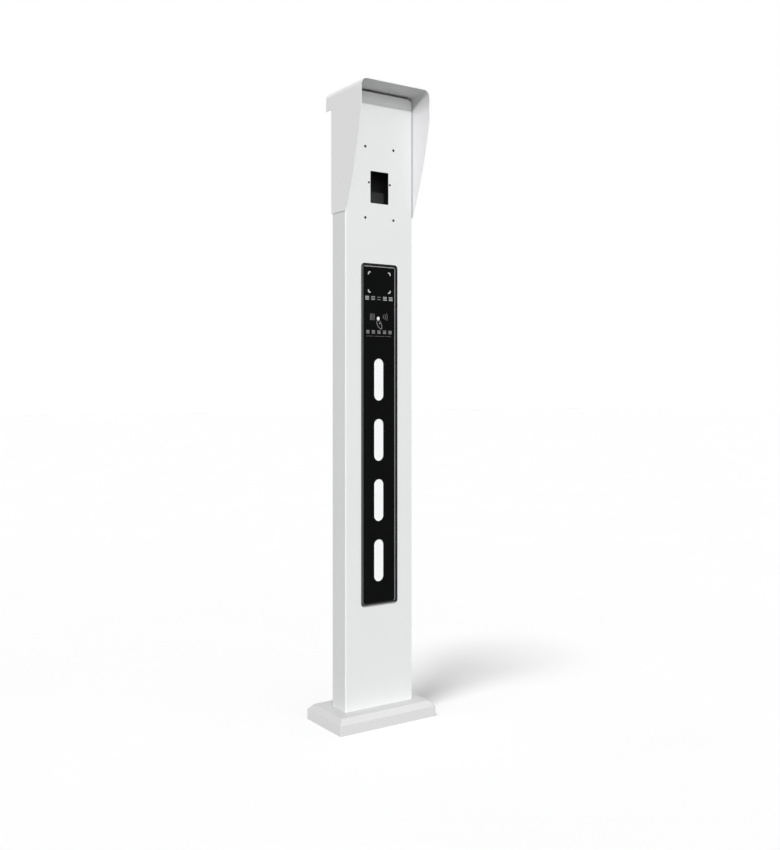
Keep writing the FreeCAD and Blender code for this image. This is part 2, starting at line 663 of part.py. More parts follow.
def light_box():
    """White tray with one light cell behind each slot."""
    height = box_top - box_bottom
    middle = (box_top + box_bottom) / 2
    pieces, cuts = ears(light_fixings, box_half)
    tray = plate_y(2 * box_half, height, TRAY_CORNER, glass_back, box_back, 0, middle).fuse(pieces)
    seat_back = glass_back + DIFFUSER_GAP + DIFFUSER_THICKNESS
    for z in slot_centres:
        cuts.append(plate_y(2 * cell_half, LIGHT_CELL_HEIGHT, LIGHT_CELL_CORNER, glass_back - 1,
                            box_floor, 0, z))
        cuts.append(plate_y(2 * (cell_half + DIFFUSER_SEAT), LIGHT_CELL_HEIGHT + 2 * DIFFUSER_SEAT,
                            LIGHT_CELL_CORNER + DIFFUSER_GAP, glass_back - 1, seat_back, 0, z))
    notch = LED_BOARD_WIDTH / 2 + LED_NOTCH_FIT
    cuts.append(box(-notch, notch, box_floor - BOARD_THICKNESS - LED_HEIGHT - LED_NOTCH_FIT, box_floor,
                    slot_centres[0], slot_centres[-1]))
    return one(tray.cut(cuts))


def led_board():
    """Circuit board strip along the light box's floor."""
    reach = LIGHT_CELL_HEIGHT / 2 - LED_BOARD_END
    return box(-LED_BOARD_WIDTH / 2, LED_BOARD_WIDTH / 2, box_floor - BOARD_THICKNESS, box_floor,
               slot_centres[0] - reach, slot_centres[-1] + reach)


def led_chips():
    """Light-emitting chips, a row in each cell."""
    chips = []
    face = box_floor - BOARD_THICKNESS
    for centre in slot_centres:
        for index in range(LED_PER_CELL):
            z = centre + LED_PITCH * (index - (LED_PER_CELL - 1) / 2)
            chips.append(box(-LED_SIZE / 2, LED_SIZE / 2, face - LED_HEIGHT, face,
                             z - LED_SIZE / 2, z + LED_SIZE / 2))
    return chips


def reader_carrier():
    """Moulded tray for the scanner and the card reader, behind the top of the glass."""
    height = carrier_top - carrier_bottom
    middle = (carrier_top + carrier_bottom) / 2
    floor = boss_end
    pieces, cuts = ears(carrier_fixings, box_half)
    tray = plate_y(2 * box_half, height, TRAY_CORNER, glass_back, ear_back, 0, middle).fuse(pieces)
    hollow = plate_y(2 * (box_half - CARRIER_WALL), height - 2 * CARRIER_WALL, CARRIER_CORNER,
                     glass_back - 1, floor, 0, middle)
    tray = tray.cut(hollow)
    for x, z in card_posts():
        tray = tray.fuse(rod_y(CARD_POST / 2, floor - CARD_POST_LENGTH, ear_back, x, z))
    cuts.append(box(-SCANNER_WIDTH / 2 - GLASS_FIT, SCANNER_WIDTH / 2 + GLASS_FIT, floor - 1,
                    ear_back + 1, SCANNER_CENTRE - SCANNER_HEIGHT / 2 - GLASS_FIT,
                    SCANNER_CENTRE + SCANNER_HEIGHT / 2 + GLASS_FIT))
    cuts.append(plate_y(CARD_BOARD_WIDTH - 2 * CARD_WINDOW_EDGE, CARD_BOARD_HEIGHT - 2 * CARD_WINDOW_EDGE,
                        CARD_WINDOW_CORNER, floor - 1, ear_back + 1, 0, CARD_BOARD_CENTRE))
    return one(tray.cut(cuts))


def card_posts():
    """Places of the posts under the card reader's board."""
    x, z = CARD_BOARD_WIDTH / 2 - CARD_POST_INSET, CARD_BOARD_HEIGHT / 2 - CARD_POST_INSET
    return [(sx * x, CARD_BOARD_CENTRE + sz * z) for sx in (-1, 1) for sz in (-1, 1)]


def scanner_housing():
    """Code scanner: a block through the carrier's floor with a flange on it."""
    front = glass_back + DIFFUSER_GAP + SCANNER_WINDOW_SHEET
    back = front + SCANNER_DEPTH
    block = plate_y(SCANNER_WIDTH, SCANNER_HEIGHT, SCANNER_CORNER, front, back, 0, SCANNER_CENTRE)
    flange = plate_y(SCANNER_WIDTH + 2 * SCANNER_FLANGE, SCANNER_HEIGHT, SCANNER_CORNER,
                     boss_end - SCANNER_FLANGE_SHEET, boss_end, 0, SCANNER_CENTRE)
    return one(block.fuse(flange))


def scanner_lens():
    """Clear window on the scanner's front."""
    front = glass_back + DIFFUSER_GAP
    return plate_y(SCANNER_WINDOW_WIDTH, SCANNER_WINDOW_HEIGHT, SCANNER_CORNER, front,
                   front + SCANNER_WINDOW_SHEET, 0, SCANNER_CENTRE)


def card_reader_board():
    """Aerial board of the card reader, on the carrier's posts."""
    back = boss_end - CARD_POST_LENGTH
    return plate_y(CARD_BOARD_WIDTH, CARD_BOARD_HEIGHT, CARD_BOARD_CORNER, back - BOARD_THICKNESS,
                   back, 0, CARD_BOARD_CENTRE)


def frame_clips():
    """Bent clips that pull the frame against the post's front wall from behind."""
    clips = []
    web = spigot_width / 2 + FRAME_FIT + CLIP_STAND_OFF
    for x, side, z in fixing_places(light_fixings + carrier_fixings):
        def bar(x_low, x_high, y_low, y_high):
            low, high = sorted((side * x_low, side * x_high))
            return box(low, high, y_low, y_high, z - EAR_HEIGHT / 2, z + EAR_HEIGHT / 2)
        top = bar(boss_x - BOSS_DIAMETER / 2, web + CLIP_SHEET, ear_back, clip_back)
        leg = bar(web, web + CLIP_SHEET, wall_y, clip_back)
        foot = bar(web, web + CLIP_SHEET + CLIP_FOOT, wall_y, wall_y + CLIP_SHEET)
        hole = rod_y(SCREW_HOLE / 2, ear_back - 1, clip_back + 1, x, z)
        clips.append(one(top.fuse([leg, foot]).cut(hole)))
    return clips


def clip_screws():
    """Screws through clip and ear into the frame's bosses."""
    screws = []
    for x, _, z in fixing_places(light_fixings + carrier_fixings):
        shank = rod_y(SCREW / 2, boss_end - SCREW_GRIP, clip_back, x, z)
        head = rod_y(SCREW_HEAD / 2, clip_back, clip_back + SCREW_HEAD_HEIGHT, x, z)
        screws.append(one(shank.fuse(head)))
    return screws


def plate_studs():
    """Places of the studs that carry the equipment plate."""
    x = PLATE_WIDTH / 2 - PLATE_STUD_INSET
    return [(sx * x, z) for sx in (-1, 1)
            for z in (PLATE_BOTTOM + PLATE_STUD_INSET, plate_top - PLATE_STUD_INSET)]


def equipment_plate():
    """Galvanised plate with its two side edges folded back to the post's wall."""
    face = box(-PLATE_WIDTH / 2, PLATE_WIDTH / 2, plate_back - PLATE_SHEET, plate_back,
               PLATE_BOTTOM, plate_top)
    legs = []
    for side in (-1, 1):
        low, high = sorted((side * PLATE_WIDTH / 2, side * (PLATE_WIDTH / 2 - PLATE_SHEET)))
        legs.append(box(low, high, wall_y, plate_back, PLATE_BOTTOM, plate_top))
    radius = PLATE_STUD / 2 + PLATE_STUD_FIT
    holes = [rod_y(radius, wall_y, plate_back + 1, x, z) for x, z in plate_studs()]
    return one(face.fuse(legs).cut(holes))


def equipment_fixings():
    """Welded studs on the front wall and their nuts."""
    studs, nuts = [], []
    for x, z in plate_studs():
        studs.append(rod_y(PLATE_STUD / 2, wall_y, wall_y + PLATE_STUD_LENGTH, x, z))
        nuts.append(small_nut(PLATE_STUD, Vector(x, plate_back, z), Vector(0, 1, 0)))
    return studs, nuts


def power_supply():
    """Vented case with a step for its terminals."""
    right = supply_x + SUPPLY_WIDTH
    top = supply_bottom + SUPPLY_HEIGHT
    back = plate_back + SUPPLY_DEPTH
    case = box(supply_x, right, plate_back, back, supply_bottom, top)
    cuts = [box(supply_x - 1, right + 1, step_back, back + 1, supply_bottom - 1,
                supply_bottom + SUPPLY_STEP)]
    for index in range(SUPPLY_VENTS):
        z = top - SUPPLY_VENT_TOP - SUPPLY_VENT_PITCH * index
        cuts.append(plate_y(SUPPLY_VENT_LENGTH, SUPPLY_VENT_HEIGHT, SUPPLY_VENT_HEIGHT / 2,
                            back - SUPPLY_VENT_DEPTH, back + 1, (supply_x + right) / 2, z))
    return one(case.cut(cuts))


def power_terminals():
    """Terminal strip on the power supply's step."""
    left = supply_x + STRIP_END
    right = supply_x + SUPPLY_WIDTH - STRIP_END
    top = step_back + STRIP_DEPTH
    strip = box(left, right, step_back, top, supply_bottom + STRIP_EDGE,
                supply_bottom + SUPPLY_STEP - STRIP_EDGE)
    way = (right - left - STRIP_WALL) / STRIP_WAYS
    cuts = []
    for index in range(STRIP_WAYS):
        x = left + STRIP_WALL + way * index
        cuts.append(box(x, x + way - STRIP_WALL, top - STRIP_RECESS, top + 1,
                        supply_bottom, supply_bottom + SUPPLY_STEP))
    return one(strip.cut(cuts))


def din_rail():
    """Upright top-hat rail on the equipment plate."""
    low, high = PLATE_BOTTOM + RAIL_END, plate_top - RAIL_END
    crest = plate_back + RAIL_DEPTH
    half_web, half_rail = RAIL_WEB / 2, RAIL_WIDTH / 2
    pieces = []
    for side in (-1, 1):
        inner = rail_middle + side * (half_web - RAIL_SHEET)
        web = sorted((inner, rail_middle + side * half_web))
        lip = sorted((inner, rail_middle + side * half_rail))
        pieces.append(box(web[0], web[1], plate_back, crest, low, high))
        pieces.append(box(lip[0], lip[1], crest - RAIL_SHEET, crest, low, high))
    floor = box(rail_middle - half_web, rail_middle + half_web, plate_back, plate_back + RAIL_SHEET,
                low, high)
    return one(floor.fuse(pieces))


def rail_terminals():
    """Stack of rail terminals, each stepped down at its two ends."""
    blocks = []
    seat = plate_back + RAIL_DEPTH
    top = seat + TERMINAL_BLOCK_DEPTH
    half = RAIL_WIDTH / 2 + TERMINAL_BLOCK_OVERHANG
    start = PLATE_BOTTOM + (PLATE_HEIGHT - TERMINAL_BLOCK_PITCH * TERMINAL_BLOCKS) / 2
    for index in range(TERMINAL_BLOCKS):
        low = start + TERMINAL_BLOCK_PITCH * index
        high = low + TERMINAL_BLOCK_PITCH - TERMINAL_BLOCK_GAP
        block = box(rail_middle - half, rail_middle + half, seat, top, low, high)
        cuts = []
        for side in (-1, 1):
            a, b = sorted((rail_middle + side * TERMINAL_BLOCK_TOP / 2, rail_middle + side * (half + 1)))
            cuts.append(box(a, b, top - TERMINAL_BLOCK_STEP, top + 1, low - 1, high + 1))
        blocks.append(one(block.cut(cuts)))
    return blocks


def rear_door():
    """Tray door over the post's rear opening."""
    height = door_top - DOOR_BOTTOM
    outside = plate_y(2 * door_half, height, DOOR_BEND, door_front, door_back, 0, door_middle)
    outside = outside.makeFillet(DOOR_BEND, edges_on(outside, y=door_back))
    inner_bend = DOOR_BEND - DOOR_SHEET
    inside = plate_y(2 * (door_half - DOOR_SHEET), height - 2 * DOOR_SHEET, inner_bend,
                     door_front - 1, door_skin, 0, door_middle)
    inside = inside.makeFillet(inner_bend * DOOR_BEND_EASE, edges_on(inside, y=door_skin))
    hole = rod_y(LOCK_BARREL / 2 + LOCK_HOLE_FIT, door_skin - 1, door_back + 1, lock_x, door_middle)
    return one(outside.cut([inside, hole]))


def door_gasket():
    """Foam seal inside the door's edge."""
    half = door_half - DOOR_SHEET - GASKET_INSET
    height = door_top - DOOR_BOTTOM - 2 * (DOOR_SHEET + GASKET_INSET)
    low, high = rear_y + GASKET_GAP, door_skin
    ring = plate_y(2 * half, height, GASKET_CORNER, low, high, 0, door_middle)
    middle = plate_y(2 * (half - GASKET_WIDTH), height - 2 * GASKET_WIDTH, GASKET_CORNER, low - 1,
                     high + 1, 0, door_middle)
    return one(ring.cut(middle))


def hinge_heights():
    """Centres of the hinges, spread evenly between the end ones."""
    low, high = DOOR_BOTTOM + HINGE_END, door_top - HINGE_END
    step = (high - low) / (HINGE_COUNT - 1)
    return [low + step * index for index in range(HINGE_COUNT)]


def hinge_fixed(z):
    """Lower half of a hinge, on the post's return."""
    low, high = z - HINGE_HEIGHT / 2, z - HINGE_GAP / 2
    knuckle = rod_z(HINGE_KNUCKLE / 2, low, high, hinge_x, hinge_y)
    right = half_post - HINGE_PLATE_EDGE
    pad = box(right - HINGE_PLATE_WIDTH, right, rear_y, rear_y + HINGE_PLATE, low, high)
    bore = rod_z(HINGE_PIN / 2 + THREAD_FIT, low + HINGE_FLOOR, high + 1, hinge_x, hinge_y)
    return one(knuckle.fuse(pad).cut(bore))


def hinge_moving(z):
    """Upper half of a hinge, on the door's side wall."""
    low, high = z + HINGE_GAP / 2, z + HINGE_HEIGHT / 2
    knuckle = rod_z(HINGE_KNUCKLE / 2, low, high, hinge_x, hinge_y)
    pad = box(door_half, door_half + HINGE_PLATE, hinge_y - HINGE_LEAF / 2, hinge_y + HINGE_LEAF / 2,
              low, high)
    bore = rod_z(HINGE_PIN / 2 + HINGE_RUNNING, low - 1, high - HINGE_FLOOR, hinge_x, hinge_y)
    return one(knuckle.fuse(pad).cut(bore))


def hinge_pin(z):
    """Pin that stands in the lower half and carries the upper one."""
    half = HINGE_HEIGHT / 2 - HINGE_FLOOR
    return rod_z(HINGE_PIN / 2, z - half, z + half - HINGE_PIN_GAP, hinge_x, hinge_y)


def lock_body():
    """Threaded barrel of the cam lock with its outer head."""
    head_back = door_back + LOCK_HEAD_HEIGHT
    head = rod_y(LOCK_HEAD / 2, door_back, head_back, lock_x, door_middle)
    head = head.makeChamfer(LOCK_CHAMFER, edges_on(head, y=head_back))
    barrel = rod_y(LOCK_BARREL / 2, barrel_end, (door_back + head_back) / 2, lock_x, door_middle)
    bore = rod_y(LOCK_PLUG / 2 + LOCK_RUNNING, barrel_end - 1, head_back + 1, lock_x, door_middle)
    recess = rod_y(LOCK_PLUG_HEAD / 2 + LOCK_RUNNING, head_back - LOCK_PLUG_HEAD_HEIGHT,
                   head_back + 1, lock_x, door_middle)
    return one(head.fuse(barrel).cut([bore, recess]))


def lock_nut():
    """Flat nut that clamps the lock to the door's skin."""
    start = Vector(lock_x, door_skin, door_middle)
    end = start - Vector(0, LOCK_NUT_HEIGHT, 0)
    nut = hexagon(LOCK_NUT_FLATS, start, end)
    return nut.cut(rod_y(LOCK_BARREL / 2 + THREAD_FIT, end.y - 1, start.y + 1, lock_x, door_middle))


def lock_plug():
    """Turning plug with its key slot."""
    outer = door_back + LOCK_HEAD_HEIGHT
    seat = outer - LOCK_PLUG_HEAD_HEIGHT + LOCK_RUNNING
    head = rod_y(LOCK_PLUG_HEAD / 2, seat, outer, lock_x, door_middle)
    core = rod_y(LOCK_PLUG / 2, cam_back, (seat + outer) / 2, lock_x, door_middle)
    key = box(lock_x - KEY_SLOT_WIDTH / 2, lock_x + KEY_SLOT_WIDTH / 2, outer - KEY_SLOT_DEPTH, outer + 1,
              door_middle - KEY_SLOT_LENGTH / 2, door_middle + KEY_SLOT_LENGTH / 2)
    thread = rod_y(CAM_SCREW / 2 + THREAD_FIT, cam_back - 1, cam_back + CAM_SCREW_GRIP + 1,
                   lock_x, door_middle)
    return one(head.fuse(core).cut([key, thread]))


def lock_cam():
    """Flat cam, hanging down when the lock is open."""
    reach = lock_x - (-return_edge) + CAM_HOLD
    height = reach + CAM_WIDTH / 2
    cam = plate_y(CAM_WIDTH, height, CAM_WIDTH / 4, cam_front, cam_back, lock_x,
                  door_middle + CAM_WIDTH / 2 - height / 2)
    hole = rod_y(CAM_SCREW / 2 + THREAD_FIT, cam_front - 1, cam_back + 1, lock_x, door_middle)
    return one(cam.cut(hole))


def cam_screw():
    """Screw that holds the cam on the plug."""
    head_front = cam_front - CAM_SCREW_HEAD_HEIGHT
    head = rod_y(CAM_SCREW_HEAD / 2, head_front, cam_front, lock_x, door_middle)
    shank = rod_y(CAM_SCREW / 2, (head_front + cam_front) / 2, cam_back + CAM_SCREW_GRIP,
                  lock_x, door_middle)
    return one(head.fuse(shank))


def earth_fixing():
    """Earth stud on the anchor plate, with its nut."""
    foot = Vector(EARTH_STUD_X, post_y, ANCHOR_THICKNESS)
    stud = rod(EARTH_STUD / 2, foot, foot + Vector(0, 0, EARTH_STUD_LENGTH))
    return stud, small_nut(EARTH_STUD, foot, Vector(0, 0, 1))


def main():
    os.makedirs("parts", exist_ok=True)
    save("anchor_plate", anchor_plate())
    save("base_cover", base_cover())
    save("cable_grommet", cable_grommet())
    stud, nut = earth_fixing()
    save("earth_stud", stud)
    save("earth_nut", nut)
    save("post_body", post_body())
    save("top_plate", top_plate())
    save("rear_sill_panel", joggled_panel(ANCHOR_THICKNESS, opening_bottom,
                                          opening_bottom - POST_SHEET))
    save("rear_head_panel", joggled_panel(opening_top, top_plate_z, opening_top))
    save("rain_hood", rain_hood())
    studs, nuts = hood_fixings()
    save("hood_studs", studs)
    save("hood_nuts", nuts)
    save("panel_frame", panel_frame())
    save("front_glass", front_glass())
    for index, z in enumerate(slot_centres, 1):
        save("light_diffuser_%d" % index, light_diffuser(z))
    save("light_box", light_box())
    save("led_board", led_board())
    save("led_chips", led_chips())
    save("reader_carrier", reader_carrier())
    save("scanner_housing", scanner_housing())
    save("scanner_lens", scanner_lens())
    save("card_reader_board", card_reader_board())
    save("frame_clips", frame_clips())
    save("clip_screws", clip_screws())
    save("equipment_plate", equipment_plate())
    studs, nuts = equipment_fixings()
    save("equipment_studs", studs)
    save("equipment_nuts", nuts)
    save("power_supply", power_supply())
    save("power_terminals", power_terminals())
    save("din_rail", din_rail())
    save("rail_terminals", rail_terminals())
    save("rear_door", rear_door())
    save("door_gasket", door_gasket())
    for index, z in enumerate(hinge_heights(), 1):
        save("hinge_fixed_%d" % index, hinge_fixed(z))
        save("hinge_moving_%d" % index, hinge_moving(z))
        save("hinge_pin_%d" % index, hinge_pin(z))
    save("lock_body", lock_body())
    save("lock_nut", lock_nut())
    save("lock_plug", lock_plug())
    save("lock_cam", lock_cam())
    save("cam_screw", cam_screw())


main()
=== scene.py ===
import json
import math

import bmesh
import bpy
from bpy.props import FloatProperty, FloatVectorProperty, PointerProperty
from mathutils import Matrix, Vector

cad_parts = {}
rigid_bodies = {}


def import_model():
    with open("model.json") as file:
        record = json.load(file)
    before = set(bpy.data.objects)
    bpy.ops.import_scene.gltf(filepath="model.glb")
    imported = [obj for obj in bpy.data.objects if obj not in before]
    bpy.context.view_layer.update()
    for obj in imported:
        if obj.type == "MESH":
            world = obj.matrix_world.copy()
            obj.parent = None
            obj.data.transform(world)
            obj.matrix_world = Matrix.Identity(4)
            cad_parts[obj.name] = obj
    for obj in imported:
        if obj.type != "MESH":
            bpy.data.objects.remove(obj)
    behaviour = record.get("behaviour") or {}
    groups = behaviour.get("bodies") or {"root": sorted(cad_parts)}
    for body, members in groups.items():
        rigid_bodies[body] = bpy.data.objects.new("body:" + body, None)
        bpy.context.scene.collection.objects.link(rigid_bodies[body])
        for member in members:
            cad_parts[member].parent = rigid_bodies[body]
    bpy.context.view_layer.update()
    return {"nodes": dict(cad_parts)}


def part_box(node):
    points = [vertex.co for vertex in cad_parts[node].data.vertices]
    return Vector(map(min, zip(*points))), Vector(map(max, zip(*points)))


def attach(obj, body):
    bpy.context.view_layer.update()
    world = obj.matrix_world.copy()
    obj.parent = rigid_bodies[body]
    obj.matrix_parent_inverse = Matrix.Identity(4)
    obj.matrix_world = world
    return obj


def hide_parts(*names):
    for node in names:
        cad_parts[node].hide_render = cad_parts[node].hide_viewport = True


bl_info = {
    "name": "Gate Intercom Post",
    "version": (1, 0, 0),
    "blender": (4, 5, 0),
    "location": "3D View > Sidebar > Intercom Post",
    "description": "Finishes, print, small hardware and studio of a gate intercom post",
    "category": "Object",
}

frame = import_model()

# A millimetre in metres, and the margin that tells on which side of a sheet a point lies
MM = 0.001
TOUCH = 0.05 * MM


def colour(name, description, default):
    return FloatVectorProperty(name=name, description=description, default=default, size=3,
                               subtype="COLOR", min=0.0, max=1.0)


def length(name, description, default_mm):
    return FloatProperty(name=name, description=description, default=default_mm * MM,
                         subtype="DISTANCE", unit="LENGTH", precision=4)


def share(name, description, default):
    return FloatProperty(name=name, description=description, default=default, min=0.0, max=1.0,
                         subtype="FACTOR")


def strength(name, description, default):
    return FloatProperty(name=name, description=description, default=default, min=0.0)


def angle(name, description, default_degrees):
    return FloatProperty(name=name, description=description, default=math.radians(default_degrees),
                         subtype="ANGLE", unit="ROTATION")


# What a user may change


class PaintSettings(bpy.types.PropertyGroup):
    colour: colour("Powder coat", "Colour of the post's outside coat", (0.79, 0.80, 0.80))
    # Painted highlight: a lighter coat on the post's front bends
    bend: colour("Bends", "Colour of the coat on the post's front bends", (0.885, 0.89, 0.89))
    # Painted shade: a darker coat where the hood's wings meet the post
    seam: colour("Seams", "Colour of the coat where the wings meet the post", (0.56, 0.56, 0.57))
    seam_shade_width: length("Seam width", "Reach of the seams' shade to each side", 5.5)
    hood: colour("Hood coat", "Colour of the rain hood's coat", (0.87, 0.87, 0.87))
    # Painted shade: a darker coat under the roof and at the top of the wings' inner sides
    underside: colour("Underside", "Colour of the coat under the roof", (0.765, 0.77, 0.765))
    shaded: colour("Shade", "Colour of the coat in the roof's shade on bends and wings", (0.62, 0.62, 0.62))
    # Painted light: a lighter coat on the post's front where the roof's shadow falls
    band_light: colour("Shaded front", "Colour of the post's front in the roof's shade", (0.88, 0.89, 0.89))
    shade_drop: length("Shade drop", "How far down the post the roof's shade reaches", 33.0)
    shade_slope: share("Shade slope", "How steeply the shade on the wings rises to the front", 0.49)
    shade_edge: length("Shade edge", "Softness of the shade's edge", 1.0)
    # Painted light: a lighter coat on the wings' inner sides
    wing: colour("Wings inside", "Colour of the coat on the wings' inner sides", (0.995, 0.985, 1.0))
    wing_shade: length("Wing shade", "Depth of the wings' upper part that is less light", 50.0)
    cover: colour("Foot coat", "Colour of the foot cover's coat", (0.73, 0.73, 0.728))
    # Painted light: a lighter coat on the foot cover's upright sides
    cover_side_light: colour("Foot sides", "Colour of the foot cover's upright sides", (0.86, 0.86, 0.86))
    primer: colour("Primer", "Colour of the post's and the door's inner sides", (0.045, 0.045, 0.047))
    plate: colour("Anchor plate", "Colour of the plate under the foot cover", (0.20, 0.21, 0.22))
    roughness: share("Roughness", "Roughness of the outside coat", 0.36)
    primer_roughness: share("Primer roughness", "Roughness of the primer", 0.70)
    drift: share("Drift", "How far the coat's colour varies", 0.008)
    peel: length("Orange peel", "Height of the coat's fine waves", 0.012)
    peel_size: length("Wave size", "Spacing of the coat's fine waves", 1.4)
    sheet: length("Post sheet", "Thickness of the post's sheet", 2.0)
    hood_sheet: length("Hood sheet", "Thickness of the hood's sheet", 1.5)
    shoulder: length("Shoulders", "Outer radius of the hood's shoulders", 17.0)
    door_sheet: length("Door sheet", "Thickness of the door's sheet", 1.5)


class PanelSettings(bpy.types.PropertyGroup):
    frame: colour("Frame", "Colour of the frame's black finish", (0.014, 0.014, 0.0145))
    frame_specular: share("Frame specular", "Specular level of the frame's black finish", 0.10)
    # Painted highlights on the frame's bevel and edges, with a strength for each side, stand in for its
    # reflections
    cut: colour("Bare metal", "Colour of the frame where its finish is cut away", (0.90, 0.91, 0.92))
    highlight_start: length("Line start", "Distance from the frame's face to its bright line", 1.125)
    highlight_top: share("Upper line", "How bare the frame's upper bevel is", 0.85)
    highlight_left: share("Left line", "How bare the frame's left bevel is", 0.22)
    highlight_right: share("Right line", "How bare the frame's right bevel is", 0.26)
    highlight_low: share("Lower line", "How bare the frame's lower edge is", 0.36)
    edge_highlight_left: share("Left wear", "How bare the frame's left edge is", 0.11)
    edge_highlight_width: length("Lower wear", "Reach of the bare metal over the frame's lower edge", 5.25)
    border: length("Border", "Width of the frame's border", 7.5)
    bevel: length("Bevel", "Width of the frame's bright bevel", 2.5)
    sheet: colour("Black sheet", "Colour of the gloss black sheet", (0.0030, 0.0036, 0.0033))
    sheet_specular: share("Sheet specular", "Specular level of the black sheet", 0.03)
    sheet_roughness: share("Sheet roughness", "Lowest roughness of the black sheet", 0.12)
    ink: length("Ink thickness", "How far the print stands on the sheet", 0.06)
    ink_roughness: share("Ink roughness", "Roughness of the print", 0.5)
    ink_white: colour("White ink", "Colour of the dot", (0.80, 0.81, 0.80))
    ink_pale: colour("Pale ink", "Colour of the brackets", (0.60, 0.60, 0.60))
    ink_light: colour("Light grey ink", "Colour of the upper row of marks", (0.44, 0.44, 0.44))
    ink_grey: colour("Grey ink", "Colour of the lower row of marks", (0.27, 0.27, 0.27))
    ink_dim: colour("Dim ink", "Colour of the fine line and the small signs", (0.17, 0.17, 0.17))


class LightSettings(bpy.types.PropertyGroup):
    opal: colour("Opal", "Colour of the opal sheets", (0.87, 0.885, 0.88))
    glow: strength("Glow", "Light given off by the opal sheets", 0.20)
    # Painted light: the opal's glow rises towards the slot's rim, where the slot's edge shades it
    rim: share("Rim", "Share of the glow that reaches the slot's middle", 0.36)
    rim_start: share("Rim start", "Where the glow starts to rise, as a share of the slot's width", 0.28)
    slot_width: length("Slot width", "Width of a light slot", 27.0)
    slot_length: length("Slot length", "Length of a light slot", 100.0)
    case: colour("Light box", "Colour of the light box", (0.80, 0.80, 0.78))
    board: colour("Boards", "Colour of the boards' lacquer", (0.010, 0.085, 0.038))
    chip: colour("Light chips", "Colour of the chips' phosphor", (0.85, 0.72, 0.22))
    carrier: colour("Carrier", "Colour of the reader's mouldings", (0.028, 0.028, 0.029))
    window: colour("Scanner window", "Colour of the scanner's window", (0.16, 0.012, 0.012))
    copper: colour("Copper", "Colour of the reader's coil", (0.72, 0.36, 0.20))


class HardwareSettings(bpy.types.PropertyGroup):
    zinc: colour("Zinc", "Colour of the zinc plated pieces", (0.50, 0.51, 0.52))
    zinc_roughness: share("Zinc roughness", "Roughness of the zinc plated pieces", 0.38)
    case: colour("Supply case", "Colour of the power supply's case", (0.54, 0.55, 0.56))
    terminal: colour("Terminals", "Colour of the terminal mouldings", (0.30, 0.32, 0.33))
    rubber: colour("Rubber", "Colour of the gasket and the grommet", (0.022, 0.022, 0.023))
    chrome: colour("Chrome", "Colour of the lock's bright plating", (0.60, 0.60, 0.61))
    brass: colour("Brass", "Colour of the lock's nut", (0.70, 0.50, 0.20))
    thread_pitch: length("Thread pitch", "Pitch of the studs' threads", 0.8)
    turning: length("Turning marks", "Spacing of the fine rings on the lock", 0.35)


class StageSettings(bpy.types.PropertyGroup):
    floor: colour("Floor", "Colour of the floor as it is seen", (0.92, 0.92, 0.92))
    bounce: colour("Floor bounce", "Colour of the floor as it lights the post", (0.15, 0.15, 0.15))
    horizon: strength("Horizon", "Strength of the soft light from the sides", 1.33)
    zenith: strength("Zenith", "Strength of the soft light from above", 0.20)
    key: strength("Key", "Strength of the key light", 1.535)
    key_softness: angle("Key softness", "Apparent size of the key light", 3.0)
    key_side: angle("Key side", "Key and fill light's turn to the left of the front", 25.4)
    key_height: angle("Key height", "Key light's height over the horizon", 24.0)
    fill: strength("Fill", "Strength of the low, wide light", 0.25)
    fill_softness: angle("Fill softness", "Apparent size of the fill light", 40.0)
    fill_height: angle("Fill height", "Fill light's height over the horizon", 5.0)
    ground: strength("Floor light", "Strength of the light that only the floor takes", 1.73)
    ground_softness: angle("Floor softness", "Apparent size of the floor's light", 15.0)
    ground_side: angle("Floor side", "Floor light's turn to the left of the front", 64.95)
    ground_height: angle("Floor height", "Floor light's height over the horizon", 66.04)


GROUPS = {"post_paint": PaintSettings, "post_panel": PanelSettings, "post_light": LightSettings,
          "post_hardware": HardwareSettings, "post_stage": StageSettings}


# Node helpers


class Field:
    """Output of a node; arithmetic on it adds nodes to its tree."""

    def __init__(self, tree, socket):
        self.tree = tree
        self.socket = socket

    def maths(self, operation, *others):
        inputs = dict(enumerate((self, *others)))
        return made(self.tree, "ShaderNodeMath", inputs, operation=operation)

    def __add__(self, other):
        return self.maths("ADD", other)

    def __sub__(self, other):
        return self.maths("SUBTRACT", other)

    def __mul__(self, other):
        return self.maths("MULTIPLY", other)

    def __truediv__(self, other):
        return self.maths("DIVIDE", other)

    def __gt__(self, other):
        return self.maths("GREATER_THAN", other)

    def __lt__(self, other):
        return self.maths("LESS_THAN", other)

    def __abs__(self):
        return self.maths("ABSOLUTE")

    def between(self, low, high):
        """One inside the limits and nought outside them."""
        return (self > low) * (self < high)


def put(tree, kind, inputs=None, **settings):
    """Add a node, choose its options, then set or link its inputs."""
    node = tree.nodes.new(kind)
    for name, value in settings.items():
        setattr(node, name, value)
    for key, value in (inputs or {}).items():
        sources = value if isinstance(value, list) else [value]
        if isinstance(sources[0], Field):
            for source in sources:
                tree.links.new(source.socket, node.inputs[key])
        else:
            node.inputs[key].default_value = value
    return node


def made(tree, kind, inputs=None, **settings):
    """First output of a new node."""
    return Field(tree, put(tree, kind, inputs, **settings).outputs[0])


def larger(first, second):
    return first.maths("MAXIMUM", second)


def diagonal(across, along):
    """Length of a diagonal from its two sides."""
    return (across * across + along * along).maths("SQRT")


def axes(source):
    """A vector's three numbers."""
    parts = put(source.tree, "ShaderNodeSeparateXYZ", {0: source}).outputs
    return [Field(source.tree, part) for part in parts]


def noise(source, size, detail=2.0):
    """Noise whose waves are about as long as size."""
    inputs = {"Vector": source, "Scale": 1.0 / size, "Detail": detail}
    return made(source.tree, "ShaderNodeTexNoise", inputs)


